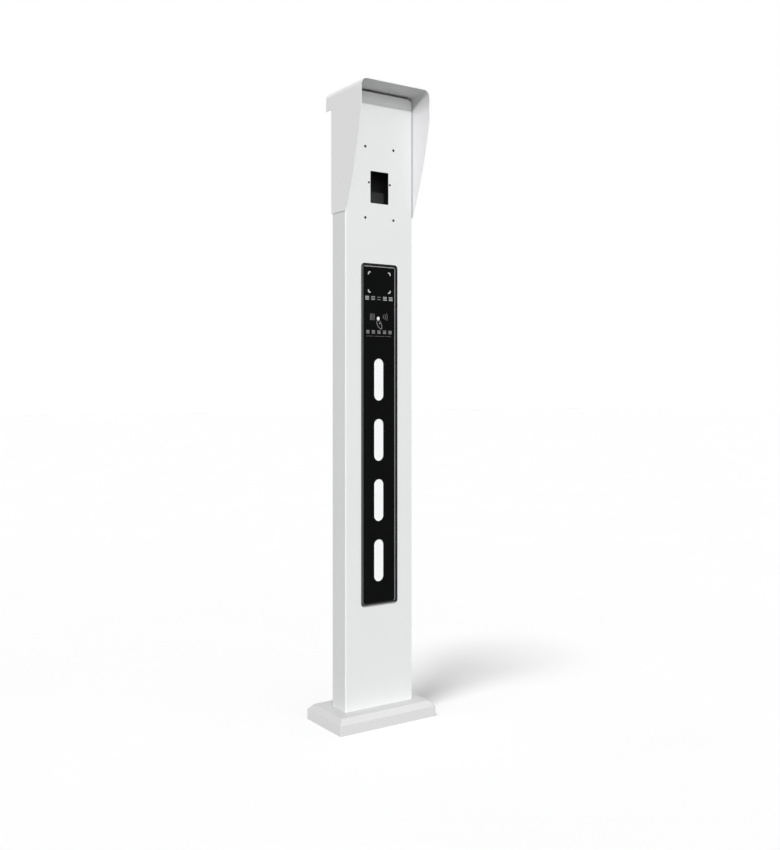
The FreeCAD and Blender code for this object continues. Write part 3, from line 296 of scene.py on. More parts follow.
def spread(value, low, high, start=0.35, end=0.65):
    """A value stretched to the range that a property needs."""
    inputs = {"Value": value, "From Min": start, "From Max": end, "To Min": low, "To Max": high}
    return made(value.tree, "ShaderNodeMapRange", inputs)


def wear(source, size, roughness, drift, detail=2.0):
    """Roughness that drifts to both sides of its mean."""
    return spread(noise(source, size, detail), roughness - drift, roughness + drift)


def blend(factor, first, second):
    """Colour between two colours."""
    first, second = (value if isinstance(value, Field) else (*value, 1.0) for value in (first, second))
    mix = put(factor.tree, "ShaderNodeMix", {0: factor, 6: first, 7: second}, data_type="RGBA")
    return Field(factor.tree, mix.outputs[2])


def tint(source, base, size, depth):
    """A colour that drifts a little over the surface."""
    dark = [part * (1 - depth) for part in base]
    light = [min(1.0, part * (1 + depth)) for part in base]
    return blend(spread(noise(source, size), 0.0, 1.0), dark, light)


def object_place(tree):
    """Place on the piece, in Object coordinates."""
    return Field(tree, put(tree, "ShaderNodeTexCoord").outputs["Object"])


def new_material(name, **fixed):
    """Material, shader and place; what is constant sits on the shader's own sockets."""
    material = bpy.data.materials.new(name)
    material.use_nodes = True
    shader = material.node_tree.nodes["Principled BSDF"]
    for key, value in fixed.items():
        shader.inputs[key.replace("_", " ").title().replace("Ior", "IOR")].default_value = value
    return material, shader, object_place(material.node_tree)


def finish(shader, base, roughness, height, distance, glow=None):
    """Link what varies to the shader."""
    normal = made(base.tree, "ShaderNodeBump", {"Height": height, "Distance": distance})
    varied = {"Base Color": base, "Roughness": roughness, "Normal": normal, "Emission Color": glow}
    for key, value in varied.items():
        if value is not None:
            base.tree.links.new(value.socket, shader.inputs[key])


def dress(material, *names):
    """Give CAD nodes their finish."""
    for name in names:
        mesh = frame["nodes"][name].data
        mesh.materials.clear()
        mesh.materials.append(material)
        for face in mesh.polygons:
            face.material_index = 0


# Finishes; a coat's colour, where dark primer shows, and where painted light, shade and highlights lie,
# follow from the place


def bend_highlight_and_seam_shade(settings, base, x, y, z):
    """Lighter front bends below the hood as painted highlight, and darker seams where the hood's wings meet
    the post as painted shade.
    """
    low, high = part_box("post_body")
    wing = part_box("rain_hood")[0].z
    wide = abs(x)
    # The post's front bends below the hood take the painted highlight
    corner = (wide > high.x - 1.5 * settings.sheet) * y.between(low.y - TOUCH, low.y + settings.sheet)
    # Painted shade beside the line where the hood's wings meet the post
    near = wide.between(high.x - settings.sheet / 4, high.x + 3 * TOUCH) * z.between(wing, high.z)
    seam = near * spread(abs(y - low.y), 1.0, 0.0, 0.0, settings.seam_shade_width)
    return blend(seam, blend(corner * (z < wing), base, settings.bend), settings.seam)


def post_coat(settings, base, x, y, z):
    """Lighter front in the roof's shade as painted light, with the painted bend highlights and seam shade.
    """
    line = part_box("rain_hood")[1].z - settings.shade_drop
    # Painted light on the post's front in the roof's shadow
    shade = spread(z, 0.0, 1.0, line, line + 3 * settings.shade_edge)
    return bend_highlight_and_seam_shade(settings, blend(shade, base, settings.band_light), x, y, z)


def hood_coat(settings, base, x, y, z):
    """The hood's seams with painted shade, painted shade under its roof, in its shoulders' creases and in
    the roof's shadow on its wings, and painted light on its wings' inner sides and under the roof by the
    post.
    """
    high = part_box("rain_hood")[1]
    front, back = (corner.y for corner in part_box("post_body"))
    past_x = larger(abs(x) - (high.x - settings.shoulder), 0.0)
    past_z = larger(z - (high.z - settings.shoulder), 0.0)
    inside = (diagonal(past_x, past_z) < settings.shoulder - settings.hood_sheet + TOUCH) * (y < back)
    # Painted shade at the top of the wings' inner sides, lightening lower down to the wings' painted light
    lit = spread(z, 1.0, 0.0, high.z - settings.wing_shade, high.z - settings.wing_shade / 2)
    line, edge = high.z - settings.shade_drop, settings.shade_edge
    # Painted shadow of the roof's front edge on the wings' inner sides
    shade = spread((y - front) * settings.shade_slope + z, 0.0, 1.0, line - edge, line + edge)
    wing = blend(shade, blend(lit, settings.underside, settings.wing), settings.shaded)
    # Painted light under the roof next to the post's front
    near = spread(y, 0.0, 1.0, front - settings.shoulder, front)
    # Painted shade in the crease of the roof's shoulders
    bent = past_x.maths("MINIMUM", past_z) / larger(larger(past_x, past_z), TOUCH)
    roof = blend(bent, blend(near, settings.underside, settings.wing), settings.shaded)
    inner = blend(past_z > past_x, wing, roof)
    return bend_highlight_and_seam_shade(settings, blend(inside, base, inner), x, y, z)


def cover_coat(settings, base, x, y, z):
    """Lighter upright sides of the foot cover, as painted light."""
    return blend(abs(x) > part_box("base_cover")[1].x - TOUCH, base, settings.cover_side_light)


def inside_post(settings, x, y, z):
    """Inner sides of the post, and, as painted shade that darkens the holes, the edges of the terminal's
    cut-out and holes.
    """
    low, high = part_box("post_body")
    wall = settings.sheet - TOUCH
    inner = (abs(x) < high.x - wall) * y.between(low.y + wall, high.y - wall)
    over_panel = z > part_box("panel_frame")[1].z + settings.sheet
    # Painted shade: the cut-out's and holes' edges take the dark primer, so the holes look dark
    edges = (abs(x) < high.x / 2) * over_panel * y.between(low.y + TOUCH, low.y + settings.sheet)
    return larger(inner, edges)


def inside_door(settings, x, y, z):
    low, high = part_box("rear_door")
    wall = settings.door_sheet - TOUCH
    return (abs(x) < high.x - wall) * (y < high.y - wall) * z.between(low.z + wall, high.z - wall)


def inside_rear_panels(settings, x, y, z):
    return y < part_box("rear_sill_panel")[1].y - settings.sheet + TOUCH


def under_top_plate(settings, x, y, z):
    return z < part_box("top_plate")[1].z - settings.sheet + TOUCH


def powder_coat(name, settings, inner=None, coat=None, change=None):
    """Powder coat with a faint orange peel, changed in places by painted light and shade, and dark where
    inner says so.
    """
    material, shader, source = new_material(name)
    base = tint(source, coat or settings.colour, 0.35, settings.drift)
    if change:
        base = change(settings, base, *axes(source))
    rough = wear(source, 0.02, settings.roughness, 0.03, 3.0)
    if inner:
        mask = inner(settings, *axes(source))
        base = blend(mask, base, tint(source, settings.primer, 0.03, 0.12))
        rough = mask * (settings.primer_roughness - settings.roughness) + rough
    finish(shader, base, rough, noise(source, settings.peel_size, 3.0), settings.peel)
    return material


def metal(name, base, roughness, size=0.004, grain=0.02 * MM):
    """Plated or bare metal with a faint mottle."""
    material, shader, source = new_material(name, metallic=1.0)
    finish(shader, tint(source, base, size * 2, 0.08), wear(source, size, roughness, 0.07, 4.0),
           noise(source, size / 2), grain)
    return material


def moulding(name, base, roughness, size=1.1 * MM, grain=0.02 * MM, drift=0.02):
    """Moulded plastic or rubber with a fine texture."""
    material, shader, source = new_material(name)
    finish(shader, tint(source, base, size * 15, drift), wear(source, size * 6, roughness, 0.05),
           noise(source, size, 3.0), grain)
    return material


def frame_highlight(settings, x, y, z):
    """How bright the frame is: a painted highlight on its inner bevel, and painted highlights on its edges
    at its left and below.
    """
    low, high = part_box("panel_frame")
    side, border, bevel, right = high.x, settings.border, settings.bevel, settings.highlight_right
    middle = (low.z + high.z) / 2
    rim = larger(abs(x) - (side - border), abs(z - middle) - (high.z - middle - border))
    cut = (z > high.z - border) * (settings.highlight_top - right) + right
    cut = (x < border - side) * (settings.highlight_left - right) + cut
    cut = cut * (z > low.z + border) * (rim < bevel + TOUCH)
    cut = cut * y.between(low.y + settings.highlight_start, low.y + bevel + TOUCH)
    left_edge_highlight = spread(x, settings.edge_highlight_left, 0.0, bevel / 2 - side, border - side)
    low_edge_highlight = spread(z, settings.highlight_low, 0.0, low.z + bevel / 2, low.z + settings.edge_highlight_width)
    return larger(cut, (y < low.y + TOUCH) * larger(left_edge_highlight, low_edge_highlight))


def frame_finish(settings):
    """Black frame whose edges show painted highlights."""
    material, shader, source = new_material("frame_black_bright_edge",
                                            specular_ior_level=settings.frame_specular)
    black = tint(source, settings.frame, 0.01, 0.15)
    cut = tint(source, settings.cut, 0.006, 0.08)
    # Painted highlights on the black frame
    base = blend(frame_highlight(settings, *axes(source)), black, cut)
    rough = wear(source, 0.002, 0.40, 0.06, 3.0)
    finish(shader, base, rough, noise(source, 0.7 * MM), 0.01 * MM)
    return material


def black_sheet(settings):
    """Gloss black acrylic, a little uneven."""
    material, shader, source = new_material("panel_black_sheet",
                                            specular_ior_level=settings.sheet_specular)
    rough = wear(source, 0.02, settings.sheet_roughness + 0.05, 0.05, 4.0)
    finish(shader, tint(source, settings.sheet, 0.03, 0.1), rough, noise(source, 0.09), 0.05 * MM)
    return material


def opal(settings, number):
    """Opal sheet, lit from behind, with painted light that makes it brightest towards the slot's rim, where
    the slot's edge shades it.
    """
    material, shader, source = new_material("opal_lit_%d" % number, roughness=0.42,
                                            emission_strength=settings.glow)
    x, y, z = axes(source)
    low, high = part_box("light_diffuser_%d" % number)
    width = settings.slot_width
    # Painted light: the glow rises from the slot's middle to its rim
    past = larger(abs(z - (low.z + high.z) / 2) - (settings.slot_length - width) / 2, 0.0)
    rim = spread(diagonal(past, x), 0.0, 1.0, width * settings.rim_start, width / 2)
    glow = blend(rim, [settings.rim] * 3, (1.0, 1.0, 1.0))
    base = tint(source, settings.opal, 0.03, 0.01)
    finish(shader, base, None, noise(source, 1.5 * MM), 0.01 * MM, glow)
    return material


def lacquered_board(settings):
    """Lacquered board with faint tracks under the lacquer."""
    material, shader, source = new_material("board_lacquer", coat_weight=0.4, coat_roughness=0.15)
    blocks = made(source.tree, "ShaderNodeTexVoronoi",
                  {"Vector": source, "Scale": 320.0, "Randomness": 0.6}, distance="MANHATTAN")
    tracks = spread(blocks, 1.0, 0.0, 0.50, 0.56)
    base = blend(tracks, settings.board, [part * 1.7 for part in settings.board])
    finish(shader, base, spread(tracks, 0.30, 0.40, 0.0, 1.0), tracks, 0.03 * MM)
    return material


def turned(name, base, roughness, settings, node):
    """Bright metal with fine rings round an axis along Y through the node's middle."""
    material, shader, source = new_material(name, metallic=1.0)
    x, y, z = axes(source)
    low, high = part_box(node)
    radius = diagonal(x - (low.x + high.x) / 2, z - (low.z + high.z) / 2)
    rings = (radius * (2 * math.pi / settings.turning)).maths("SINE")
    rough = wear(source, 0.004, roughness, 0.06, 3.0)
    finish(shader, tint(source, base, 0.02, 0.05), rough, rings, 0.004 * MM)
    return material


# Meshes and geometry trees


def empty_object(name):
    obj = bpy.data.objects.new(name, bpy.data.meshes.new(name))
    bpy.context.scene.collection.objects.link(obj)
    return obj


def drawn(name, mesh, material):
    """Object with a drawn mesh of one material."""
    obj = empty_object(name)
    mesh.to_mesh(obj.data)
    mesh.free()
    obj.data.materials.append(material)
    return obj


def settle(obj, body, replaces=()):
    """Let a finished piece ride on its body."""
    if not obj.data.polygons:
        raise RuntimeError(obj.name + " has no faces")
    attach(obj, body)
    if replaces:
        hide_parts(*replaces)


def shape(tree, kind, inputs=None, **settings):
    """First output of a new geometry node."""
    return made(tree, "GeometryNode" + kind, inputs, **settings)


# Inputs of in_rows, and the types of all inputs that aren't plain numbers
ROWS = ("Start", "Turn", "Columns", "Column Step", "Rows", "Row Step")
KINDS = {"Start": "Vector", "Turn": "Vector", "Columns": "Int", "Column Step": "Vector",
         "Rows": "Int", "Row Step": "Vector", "Size": "Vector", "Recess": "Vector", "Turns": "Int",
         "Centre": "Vector"}


def geometry_tree(name, *labels):
    """Geometry tree and its named inputs."""
    tree = bpy.data.node_groups.new(name, "GeometryNodeTree")
    for label in labels:
        kind = "NodeSocket" + KINDS.get(label, "Float")
        tree.interface.new_socket(name=label, in_out="INPUT", socket_type=kind)
    tree.interface.new_socket(name="Geometry", in_out="OUTPUT", socket_type="NodeSocketGeometry")
    given = tree.nodes.new("NodeGroupInput").outputs
    return tree, {label: Field(tree, given[label]) for label in labels}


def close_tree(geometry, material):
    """Realize the instances, then set flat shading and the material."""
    tree = geometry.tree
    real = shape(tree, "RealizeInstances", {0: geometry})
    shaded = shape(tree, "SetShadeSmooth", {0: real, "Shade Smooth": False})
    painted = shape(tree, "SetMaterial", {0: shaded, "Material": material})
    put(tree, "NodeGroupOutput", {0: painted})
    return tree


def grown(name, tree, values):
    """Run a geometry tree on an empty object and return what it makes as a plain mesh."""
    obj = empty_object(name)
    modifier = obj.modifiers.new(name, "NODES")
    modifier.node_group = tree
    for item in tree.interface.items_tree:
        if item.in_out == "INPUT":
            modifier[item.identifier] = values[item.name]
    graph = bpy.context.evaluated_depsgraph_get()
    mesh = bpy.data.meshes.new_from_object(obj.evaluated_get(graph))
    bpy.data.objects.remove(obj)
    return mesh


def grow(name, tree, runs, replaces=()):
    """Run a geometry tree once for each set of values, and keep all of it as one piece on the post."""
    meshes = [grown(name + "_run", tree, values) for values in runs]
    joined = bmesh.new()
    for mesh in meshes:
        joined.from_mesh(mesh)
    joined.to_mesh(meshes[0])
    joined.free()
    obj = empty_object(name)
    obj.data = meshes[0]
    settle(obj, "post", replaces)


def moved(geometry, shift=(0.0, 0.0, 0.0), turn=(0.0, 0.0, 0.0)):
    return shape(geometry.tree, "Transform", {0: geometry, "Translation": shift, "Rotation": turn})


def combine(tree, x=0.0, y=0.0, z=0.0):
    return made(tree, "ShaderNodeCombineXYZ", {0: x, 1: y, 2: z})


def cylinder(tree, sides, radius, height, start):
    """Cylinder along Z whose middle stands at a share of its height."""
    body = shape(tree, "MeshCylinder", {"Vertices": sides, "Radius": radius, "Depth": height})
    return moved(body, combine(tree, z=height * start))


def in_rows(geometry, given):
    """Copies of a geometry in columns and rows."""
    tree = geometry.tree
    columns = shape(tree, "MeshLine", {"Count": given["Columns"], "Offset": given["Column Step"]})
    line = shape(tree, "InstanceOnPoints", {
        "Points": columns, "Instance": geometry, "Rotation": given["Turn"]})
    rows = shape(tree, "MeshLine", {
        "Count": given["Rows"], "Start Location": given["Start"], "Offset": given["Row Step"]})
    return shape(tree, "InstanceOnPoints", {"Points": rows, "Instance": line})


def layout(start, columns=(1, (0, 0, 0)), rows=(1, (0, 0, 0)), turn=(0, 0, 0)):
    """Inputs of in_rows; each pair is a count and a step, in millimetres, and the turn in degrees."""
    return {"Start": Vector(start) * MM, "Turn": Vector([math.radians(part) for part in turn]),
            "Columns": columns[0], "Column Step": Vector(columns[1]) * MM,
            "Rows": rows[0], "Row Step": Vector(rows[1]) * MM}


# Print on the black sheet, drawn in a front view; millimetres and degrees

SHEET_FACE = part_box("front_glass")[0].y / MM
BRACKET_MIDDLE, BRACKET_HALF = 1.0, 31.0
BRACKET_LOW, BRACKET_HIGH = 1020.0, 1068.0
BRACKET_RADIUS, BRACKET_LEG, BRACKET_STROKE = 3.6, 2.6, 2.8
SIGN_STROKE = 1.3
CARD_LEFT, CARD_PITCH, CARD_STROKES = -24.6, 3.7, 4
CARD_LOW, CARD_HIGH = 954.0, 969.5
WAVE_CENTRE, WAVE_RADII, WAVE_SPAN = (2.0, 962.8), (10.5, 16.0, 21.5), 24
DROP_CENTRE, DROP_HALF, DROP_SIDE = (1.4, 943.5), 11.2, 6.4
DROP_TILT, DROP_POINTS, DROP_ROUNDNESS = 30, 28, 0.4
DOT_CENTRE, DOT_RADIUS = (-2.0, 958.4), 4.2
SPOT_CENTRE, SPOT_RADIUS = (1.6, 946.5), 1.1

# Rows of marks: ink, first mark's middle, count, pitch, a bar's size, bars in a mark and their pitch
SCAN_PITCH, SCAN_UP, SCAN_BARS = 16.8, 1006.2, ((10.5, 1.9), 3, 3.4)
TAP_PITCH, TAP_UP, TAP_BARS = 15.8, 926.0, ((9.0, 1.6), 3, 3.0)
FINE_PITCH, FINE_UP, FINE_BAR = 3.8, 916.0, ((2.4, 1.0), 1, 0.0)
SCAN_MARKS = {
    "scan_marks_left": ("light", (-2 * SCAN_PITCH, SCAN_UP), 1, SCAN_PITCH, *SCAN_BARS),
    "scan_marks_second": ("grey", (-SCAN_PITCH, SCAN_UP), 1, SCAN_PITCH, *SCAN_BARS),
    "scan_marks_middle": ("dim", (0.0, SCAN_UP), 1, SCAN_PITCH, (9.5, 1.6), 2, 5.6),
    "scan_marks_right": ("light", (SCAN_PITCH, SCAN_UP), 2, SCAN_PITCH, *SCAN_BARS),
}
TAP_MARKS = {
    "tap_marks": ("grey", (-2 * TAP_PITCH, TAP_UP), 5, TAP_PITCH, *TAP_BARS),
    "fine_line_1": ("dim", (-34.5, FINE_UP), 5, FINE_PITCH, *FINE_BAR),
    "fine_line_2": ("dim", (-12.0, FINE_UP), 8, FINE_PITCH, *FINE_BAR),
    "fine_line_3": ("dim", (21.2, FINE_UP), 4, FINE_PITCH, *FINE_BAR),
}


def arc(centre, radius, start, end, steps=12):
    """Points along an arc."""
    turns = [math.radians(start + (end - start) * step / steps) for step in range(steps + 1)]
    return [(centre[0] + radius * math.cos(t), centre[1] + radius * math.sin(t)) for t in turns]


def disc(mesh, centre, radius, points):
    """Filled circle."""
    outline = arc(centre, radius, 0, 360, points)[:-1]
    mesh.faces.new([mesh.verts.new((x, 0.0, z)) for x, z in outline])


def stroke(mesh, points, width, closed=False):
    """Flat line along points."""
    count = len(points)
    pairs = []
    for index, point in enumerate(points):
        before = points[index - 1] if index or closed else point
        after = points[(index + 1) % count] if index < count - 1 or closed else point
        along = Vector(after) - Vector(before)
        across = Vector((-along.y, along.x)).normalized() * width / 2
        sides = (Vector(point) + across, Vector(point) - across)
        pairs.append([mesh.verts.new((side.x, 0.0, side.y)) for side in sides])
    for index in range(count if closed else count - 1):
        first, second = pairs[index], pairs[(index + 1) % count]
        mesh.faces.new((first[0], first[1], second[1], second[0]))


def printed(name, mesh, thickness, material):
    """Turn flat shapes into a thin layer of ink on the sheet."""
    bmesh.ops.scale(mesh, verts=mesh.verts, vec=(MM, MM, MM))
    top = bmesh.ops.extrude_face_region(mesh, geom=mesh.faces[:])["geom"]
    raised = [item for item in top if isinstance(item, bmesh.types.BMVert)]
    bmesh.ops.translate(mesh, verts=raised, vec=(0, -thickness, 0))
    bmesh.ops.translate(mesh, verts=mesh.verts, vec=(0, SHEET_FACE * MM, 0))
    bmesh.ops.recalc_face_normals(mesh, faces=mesh.faces)
    settle(drawn(name, mesh, material), "post")


def scan_brackets(settings, ink):
    """Four rounded corner marks round the scanner's window."""
    mesh = bmesh.new()
    bend = arc((0.0, 0.0), BRACKET_RADIUS, 0, 90)
    bend = [(BRACKET_RADIUS, -BRACKET_LEG), *bend, (-BRACKET_LEG, BRACKET_RADIUS)]
    for side in (-1, 1):
        for top, height in ((-1, BRACKET_LOW), (1, BRACKET_HIGH)):
            points = [(BRACKET_MIDDLE + side * (BRACKET_HALF + across - BRACKET_RADIUS),
                       height + top * (up - BRACKET_RADIUS)) for across, up in bend]
            stroke(mesh, points, BRACKET_STROKE)
    printed("scan_brackets", mesh, settings.ink, ink)


def card_and_waves(settings, ink):
    """Upright strokes for a card, and three waves, beside the dot."""
    mesh = bmesh.new()
    for step in range(CARD_STROKES):
        across = CARD_LEFT + CARD_PITCH * step
        stroke(mesh, [(across, CARD_LOW), (across, CARD_HIGH)], SIGN_STROKE)
    for radius in WAVE_RADII:
        stroke(mesh, arc(WAVE_CENTRE, radius, -WAVE_SPAN, WAVE_SPAN), SIGN_STROKE)
    printed("card_and_waves", mesh, settings.ink, ink)


def tap_drop(settings, ink):
    """Slanting drop outline under the dot."""
    mesh = bmesh.new()
    tilt = math.radians(DROP_TILT)
    points = []
    for step in range(DROP_POINTS):
        turn = 2 * math.pi * step / DROP_POINTS
        across = DROP_SIDE * math.sin(turn) * math.sin(turn / 2) ** DROP_ROUNDNESS
        along = -DROP_HALF * math.cos(turn)
        points.append((DROP_CENTRE[0] + across * math.cos(tilt) - along * math.sin(tilt),
                       DROP_CENTRE[1] + across * math.sin(tilt) + along * math.cos(tilt)))
    stroke(mesh, points, SIGN_STROKE, closed=True)
    printed("tap_drop", mesh, settings.ink, ink)


def tap_dot(settings, ink):
    """Dot, and a small spot inside the drop."""
    mesh = bmesh.new()
    disc(mesh, DOT_CENTRE, DOT_RADIUS, 24)
    disc(mesh, SPOT_CENTRE, SPOT_RADIUS, 12)
    printed("tap_dot", mesh, settings.ink, ink)


def bars_tree(material):
    """Short flat bars in columns and rows."""
    tree, given = geometry_tree("short_bars", "Size", *ROWS)
    bar = shape(tree, "MeshCube", {"Size": given["Size"]})
    return close_tree(in_rows(bar, given), material)


def print_marks(marks, settings, inks):
    """Printed rows of marks, each mark a stack of bars."""
    for name, (tone, middle, count, pitch, size, bars, bar_pitch) in marks.items():
        low = middle[1] - bar_pitch * (bars - 1) / 2
        start = (middle[0], SHEET_FACE - settings.ink / MM / 2, low)
        values = layout(start, (count, (pitch, 0, 0)), (bars, (0, 0, bar_pitch)))
        values["Size"] = Vector((size[0] * MM, settings.ink, size[1] * MM))
        grow(name, bars_tree(inks[tone]), [values])


# Small hardware made by geometry trees; millimetres and degrees


def screw_sizes(head_radius, head_height, shank_radius, shank_length, recess):
    """Inputs for a screw; the recess is the length, width and twice the depth of its slots."""
    return {"Head Radius": head_radius * MM, "Head Height": head_height * MM,
            "Shank Radius": shank_radius * MM, "Shank Length": shank_length * MM,
            "Recess": Vector(recess) * MM}


TO_REAR = (-90, 0, 0)
TO_RIGHT = (0, 90, 0)

# Radius, length and places of the studs in a CAD node
STUDS = {
    "hood_studs": (2.5, 14, layout((-95.1, -4, 1240), (2, (176.2, 0, 0)), (3, (0, 0, 90)), TO_RIGHT)),
    "equipment_studs": (2, 14, layout((-68, -32, 163), (2, (136, 0, 0)), (2, (0, 0, 98)), TO_REAR)),
    "earth_stud": (3, 20, layout((70, -4, 8))),
}

CLIP_SCREW = screw_sizes(2.8, 2.2, 1.5, 9.5, (3.6, 0.8, 2.4))
LOW_CLIPS = layout((-44.7, -14.5, 340.8), (2, (89.4, 0, 0)), (3, (0, 0, 256.95)), TO_REAR)
HIGH_CLIPS = layout((-44.7, -14.5, 908.7), (2, (89.4, 0, 0)), (2, (0, 0, 152.5)), TO_REAR)

POWER_SCREW = screw_sizes(2.4, 1.6, 1.4, 1.0, (3.4, 0.7, 1.6))
POWER_STRIP = layout((-46.725, -6.0, 181.0), (4, (10.15, 0, 0)), turn=TO_REAR)
RAIL_SCREW = screw_sizes(2.4, 1.0, 1.4, 1.0, (3.4, 0.7, 1.6))
RAIL_STRIP = layout((14.75, 5.5, 183.9), (2, (29.5, 0, 0)), (8, (0, 0, 8)), TO_REAR)

BOARD_LOW, BOARD_HIGH = (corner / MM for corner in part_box("card_reader_board"))
BOARD_UP = (BOARD_LOW.z + BOARD_HIGH.z) / 2
COIL_THICKNESS = 0.1
COIL = {"Width": 62 * MM, "Height": 78 * MM, "Corner": 4 * MM, "Turns": 5, "Pitch": 1.2 * MM,
        "Track": 0.6 * MM, "Thickness": COIL_THICKNESS * MM,
        "Centre": Vector((0, BOARD_LOW.y - COIL_THICKNESS / 2, BOARD_UP)) * MM}

# Components: middle across and over the board's middle, width, height and depth
CHIPS = ((-6.0, 8.0, 10.0, 10.0, 1.6), (9.0, 12.0, 5.0, 6.2, 1.5), (8.5, -2.0, 4.4, 4.4, 1.2),
         (-13.0, -9.0, 3.2, 1.6, 1.0), (-8.0, -9.0, 3.2, 1.6, 1.0), (-3.0, -9.0, 3.2, 1.6, 1.0),
         (0.0, -20.0, 16.0, 5.6, 3.8))
CHIP_CHAMFER = 0.25
LEAD = (1.6, 0.5, 0.5)
LEADS = layout((-11.6, BOARD_HIGH.y + LEAD[1] / 2, BOARD_UP + 3.6), (2, (11.2, 0, 0)), (8, (0, 0, 1.27)))


def thread_tree(material):
    """Studs in rows: each a core with a thread ridge along it."""
    tree, given = geometry_tree("threaded_studs", "Radius", "Length", "Pitch", *ROWS)
    depth = given["Pitch"] * 0.5
    core_radius = given["Radius"] - depth
    climb = given["Length"] - given["Pitch"]
    spiral = shape(tree, "CurveSpiral", {
        "Resolution": 20, "Rotations": climb / given["Pitch"],
        "Start Radius": core_radius, "End Radius": core_radius, "Height": climb})
    spiral = shape(tree, "SetCurveNormal", {0: moved(spiral, combine(tree, z=depth))}, mode="Z_UP")
    ridge = shape(tree, "CurvePrimitiveCircle", {"Resolution": 4, "Radius": depth})
    thread = shape(tree, "CurveToMesh", {0: spiral, 1: ridge, "Fill Caps": True})
    core = cylinder(tree, 24, core_radius, given["Length"], 0.5)
    stud = shape(tree, "JoinGeometry", {0: [thread, core]})
    return close_tree(in_rows(stud, given), material)


def screw_tree(material):
    """Screws in rows, each with a cross recess; the head stands on the start along the axis."""
    tree, given = geometry_tree("cross_screws", "Head Radius", "Head Height", "Shank Radius",
                                "Shank Length", "Recess", *ROWS)
    head = cylinder(tree, 32, given["Head Radius"], given["Head Height"], 0.5)
    groove = shape(tree, "MeshCube", {"Size": given["Recess"]})
    groove = moved(groove, combine(tree, z=given["Head Height"]))
    grooves = [groove, moved(groove, turn=(0.0, 0.0, math.pi / 2))]
    head = shape(tree, "MeshBoolean", {"Mesh 1": head, "Mesh 2": grooves},
                 operation="DIFFERENCE", solver="EXACT")
    shank = cylinder(tree, 24, given["Shank Radius"], given["Shank Length"], -0.5)
    screw = shape(tree, "JoinGeometry", {0: [head, shank]})
    return close_tree(in_rows(screw, given), material)


def coil_tree(material):
    """Flat coil of tracks in a front view: rounded rectangles, one inside another."""
    tree, given = geometry_tree("flat_coil", "Width", "Height", "Corner", "Turns", "Pitch", "Track",
                                "Thickness", "Centre")
    loop = shape(tree, "CurvePrimitiveQuadrilateral", {
        "Width": given["Width"], "Height": given["Height"]})
    loop = shape(tree, "FilletCurve", {0: loop, "Radius": given["Corner"], "Count": 5}, mode="POLY")
    line = shape(tree, "MeshLine", {"Count": given["Turns"], "Offset": (0, 0, 0)})
    inward = shape(tree, "InputIndex") * given["Pitch"] * 2.0
    scales = [inward / given[side] * -1.0 + 1.0 for side in ("Width", "Height")]
    loops = shape(tree, "InstanceOnPoints", {
        "Points": line, "Instance": loop, "Scale": combine(tree, *scales, 1.0)})
    loops = shape(tree, "RealizeInstances", {0: loops})
    track = shape(tree, "CurvePrimitiveQuadrilateral", {
        "Width": given["Track"], "Height": given["Thickness"]})
    coil = shape(tree, "CurveToMesh", {0: loops, 1: track})
    return close_tree(moved(coil, given["Centre"], (math.pi / 2, 0.0, 0.0)), material)


def board_chips(material):
    """Moulded components on the back of the reader's board, with chamfered edges."""
    mesh = bmesh.new()
    for across, up, width, height, depth in CHIPS:
        cube = bmesh.ops.create_cube(mesh, size=MM)["verts"]
        bmesh.ops.scale(mesh, verts=cube, vec=(width, depth, height))
        middle = Vector((across, BOARD_HIGH.y + depth / 2, BOARD_UP + up)) * MM
        bmesh.ops.translate(mesh, verts=cube, vec=middle)
    bmesh.ops.bevel(mesh, geom=mesh.edges[:], offset=CHIP_CHAMFER * MM, segments=1, affect="EDGES")
    settle(drawn("reader_chips", mesh, material), "post")


# Operators


def settings_of(group):
    return getattr(bpy.context.scene, group)


class POST_OT_sheet_metal(bpy.types.Operator):
    """Powder coat the post, the hood, the foot cover, the door and the hinges"""
    bl_idname = "post.sheet_metal"
    bl_label = "Sheet Metal"

    def execute(self, context):
        settings = settings_of("post_paint")
        dress(powder_coat("post_coat", settings, inside_post, change=post_coat), "post_body")
        dress(powder_coat("door_coat", settings, inside_door), "rear_door")
        dress(powder_coat("rear_panel_coat", settings, inside_rear_panels),
              "rear_sill_panel", "rear_head_panel")
        dress(powder_coat("top_plate_coat", settings, under_top_plate), "top_plate")
        dress(powder_coat("hood_coat", settings, coat=settings.hood, change=hood_coat), "rain_hood")
        dress(powder_coat("cover_coat", settings, coat=settings.cover, change=cover_coat), "base_cover")
        hinges = ["hinge_%s_%d" % (side, number) for side in ("fixed", "moving") for number in (1, 2, 3)]
        dress(powder_coat("hinge_coat", settings), *hinges)
        return {"FINISHED"}


class POST_OT_panel_frame(bpy.types.Operator):
    """Finish the light panel's frame: black with a painted highlight on its bevel"""
    bl_idname = "post.panel_frame"
    bl_label = "Panel Frame"

    def execute(self, context):
        dress(frame_finish(settings_of("post_panel")), "panel_frame")
        return {"FINISHED"}


class POST_OT_black_sheet(bpy.types.Operator):
    """Finish the black sheet and print its marks"""
    bl_idname = "post.black_sheet"
    bl_label = "Black Sheet and Print"

    def execute(self, context):
        settings = settings_of("post_panel")
        dress(black_sheet(settings), "front_glass")
        inks = {tone: moulding("ink_" + tone, getattr(settings, "ink_" + tone), settings.ink_roughness)
                for tone in ("white", "pale", "light", "grey", "dim")}
        scan_brackets(settings, inks["pale"])
        print_marks(SCAN_MARKS, settings, inks)
        tap_dot(settings, inks["white"])
        tap_drop(settings, inks["grey"])
        card_and_waves(settings, inks["dim"])
        print_marks(TAP_MARKS, settings, inks)
        return {"FINISHED"}


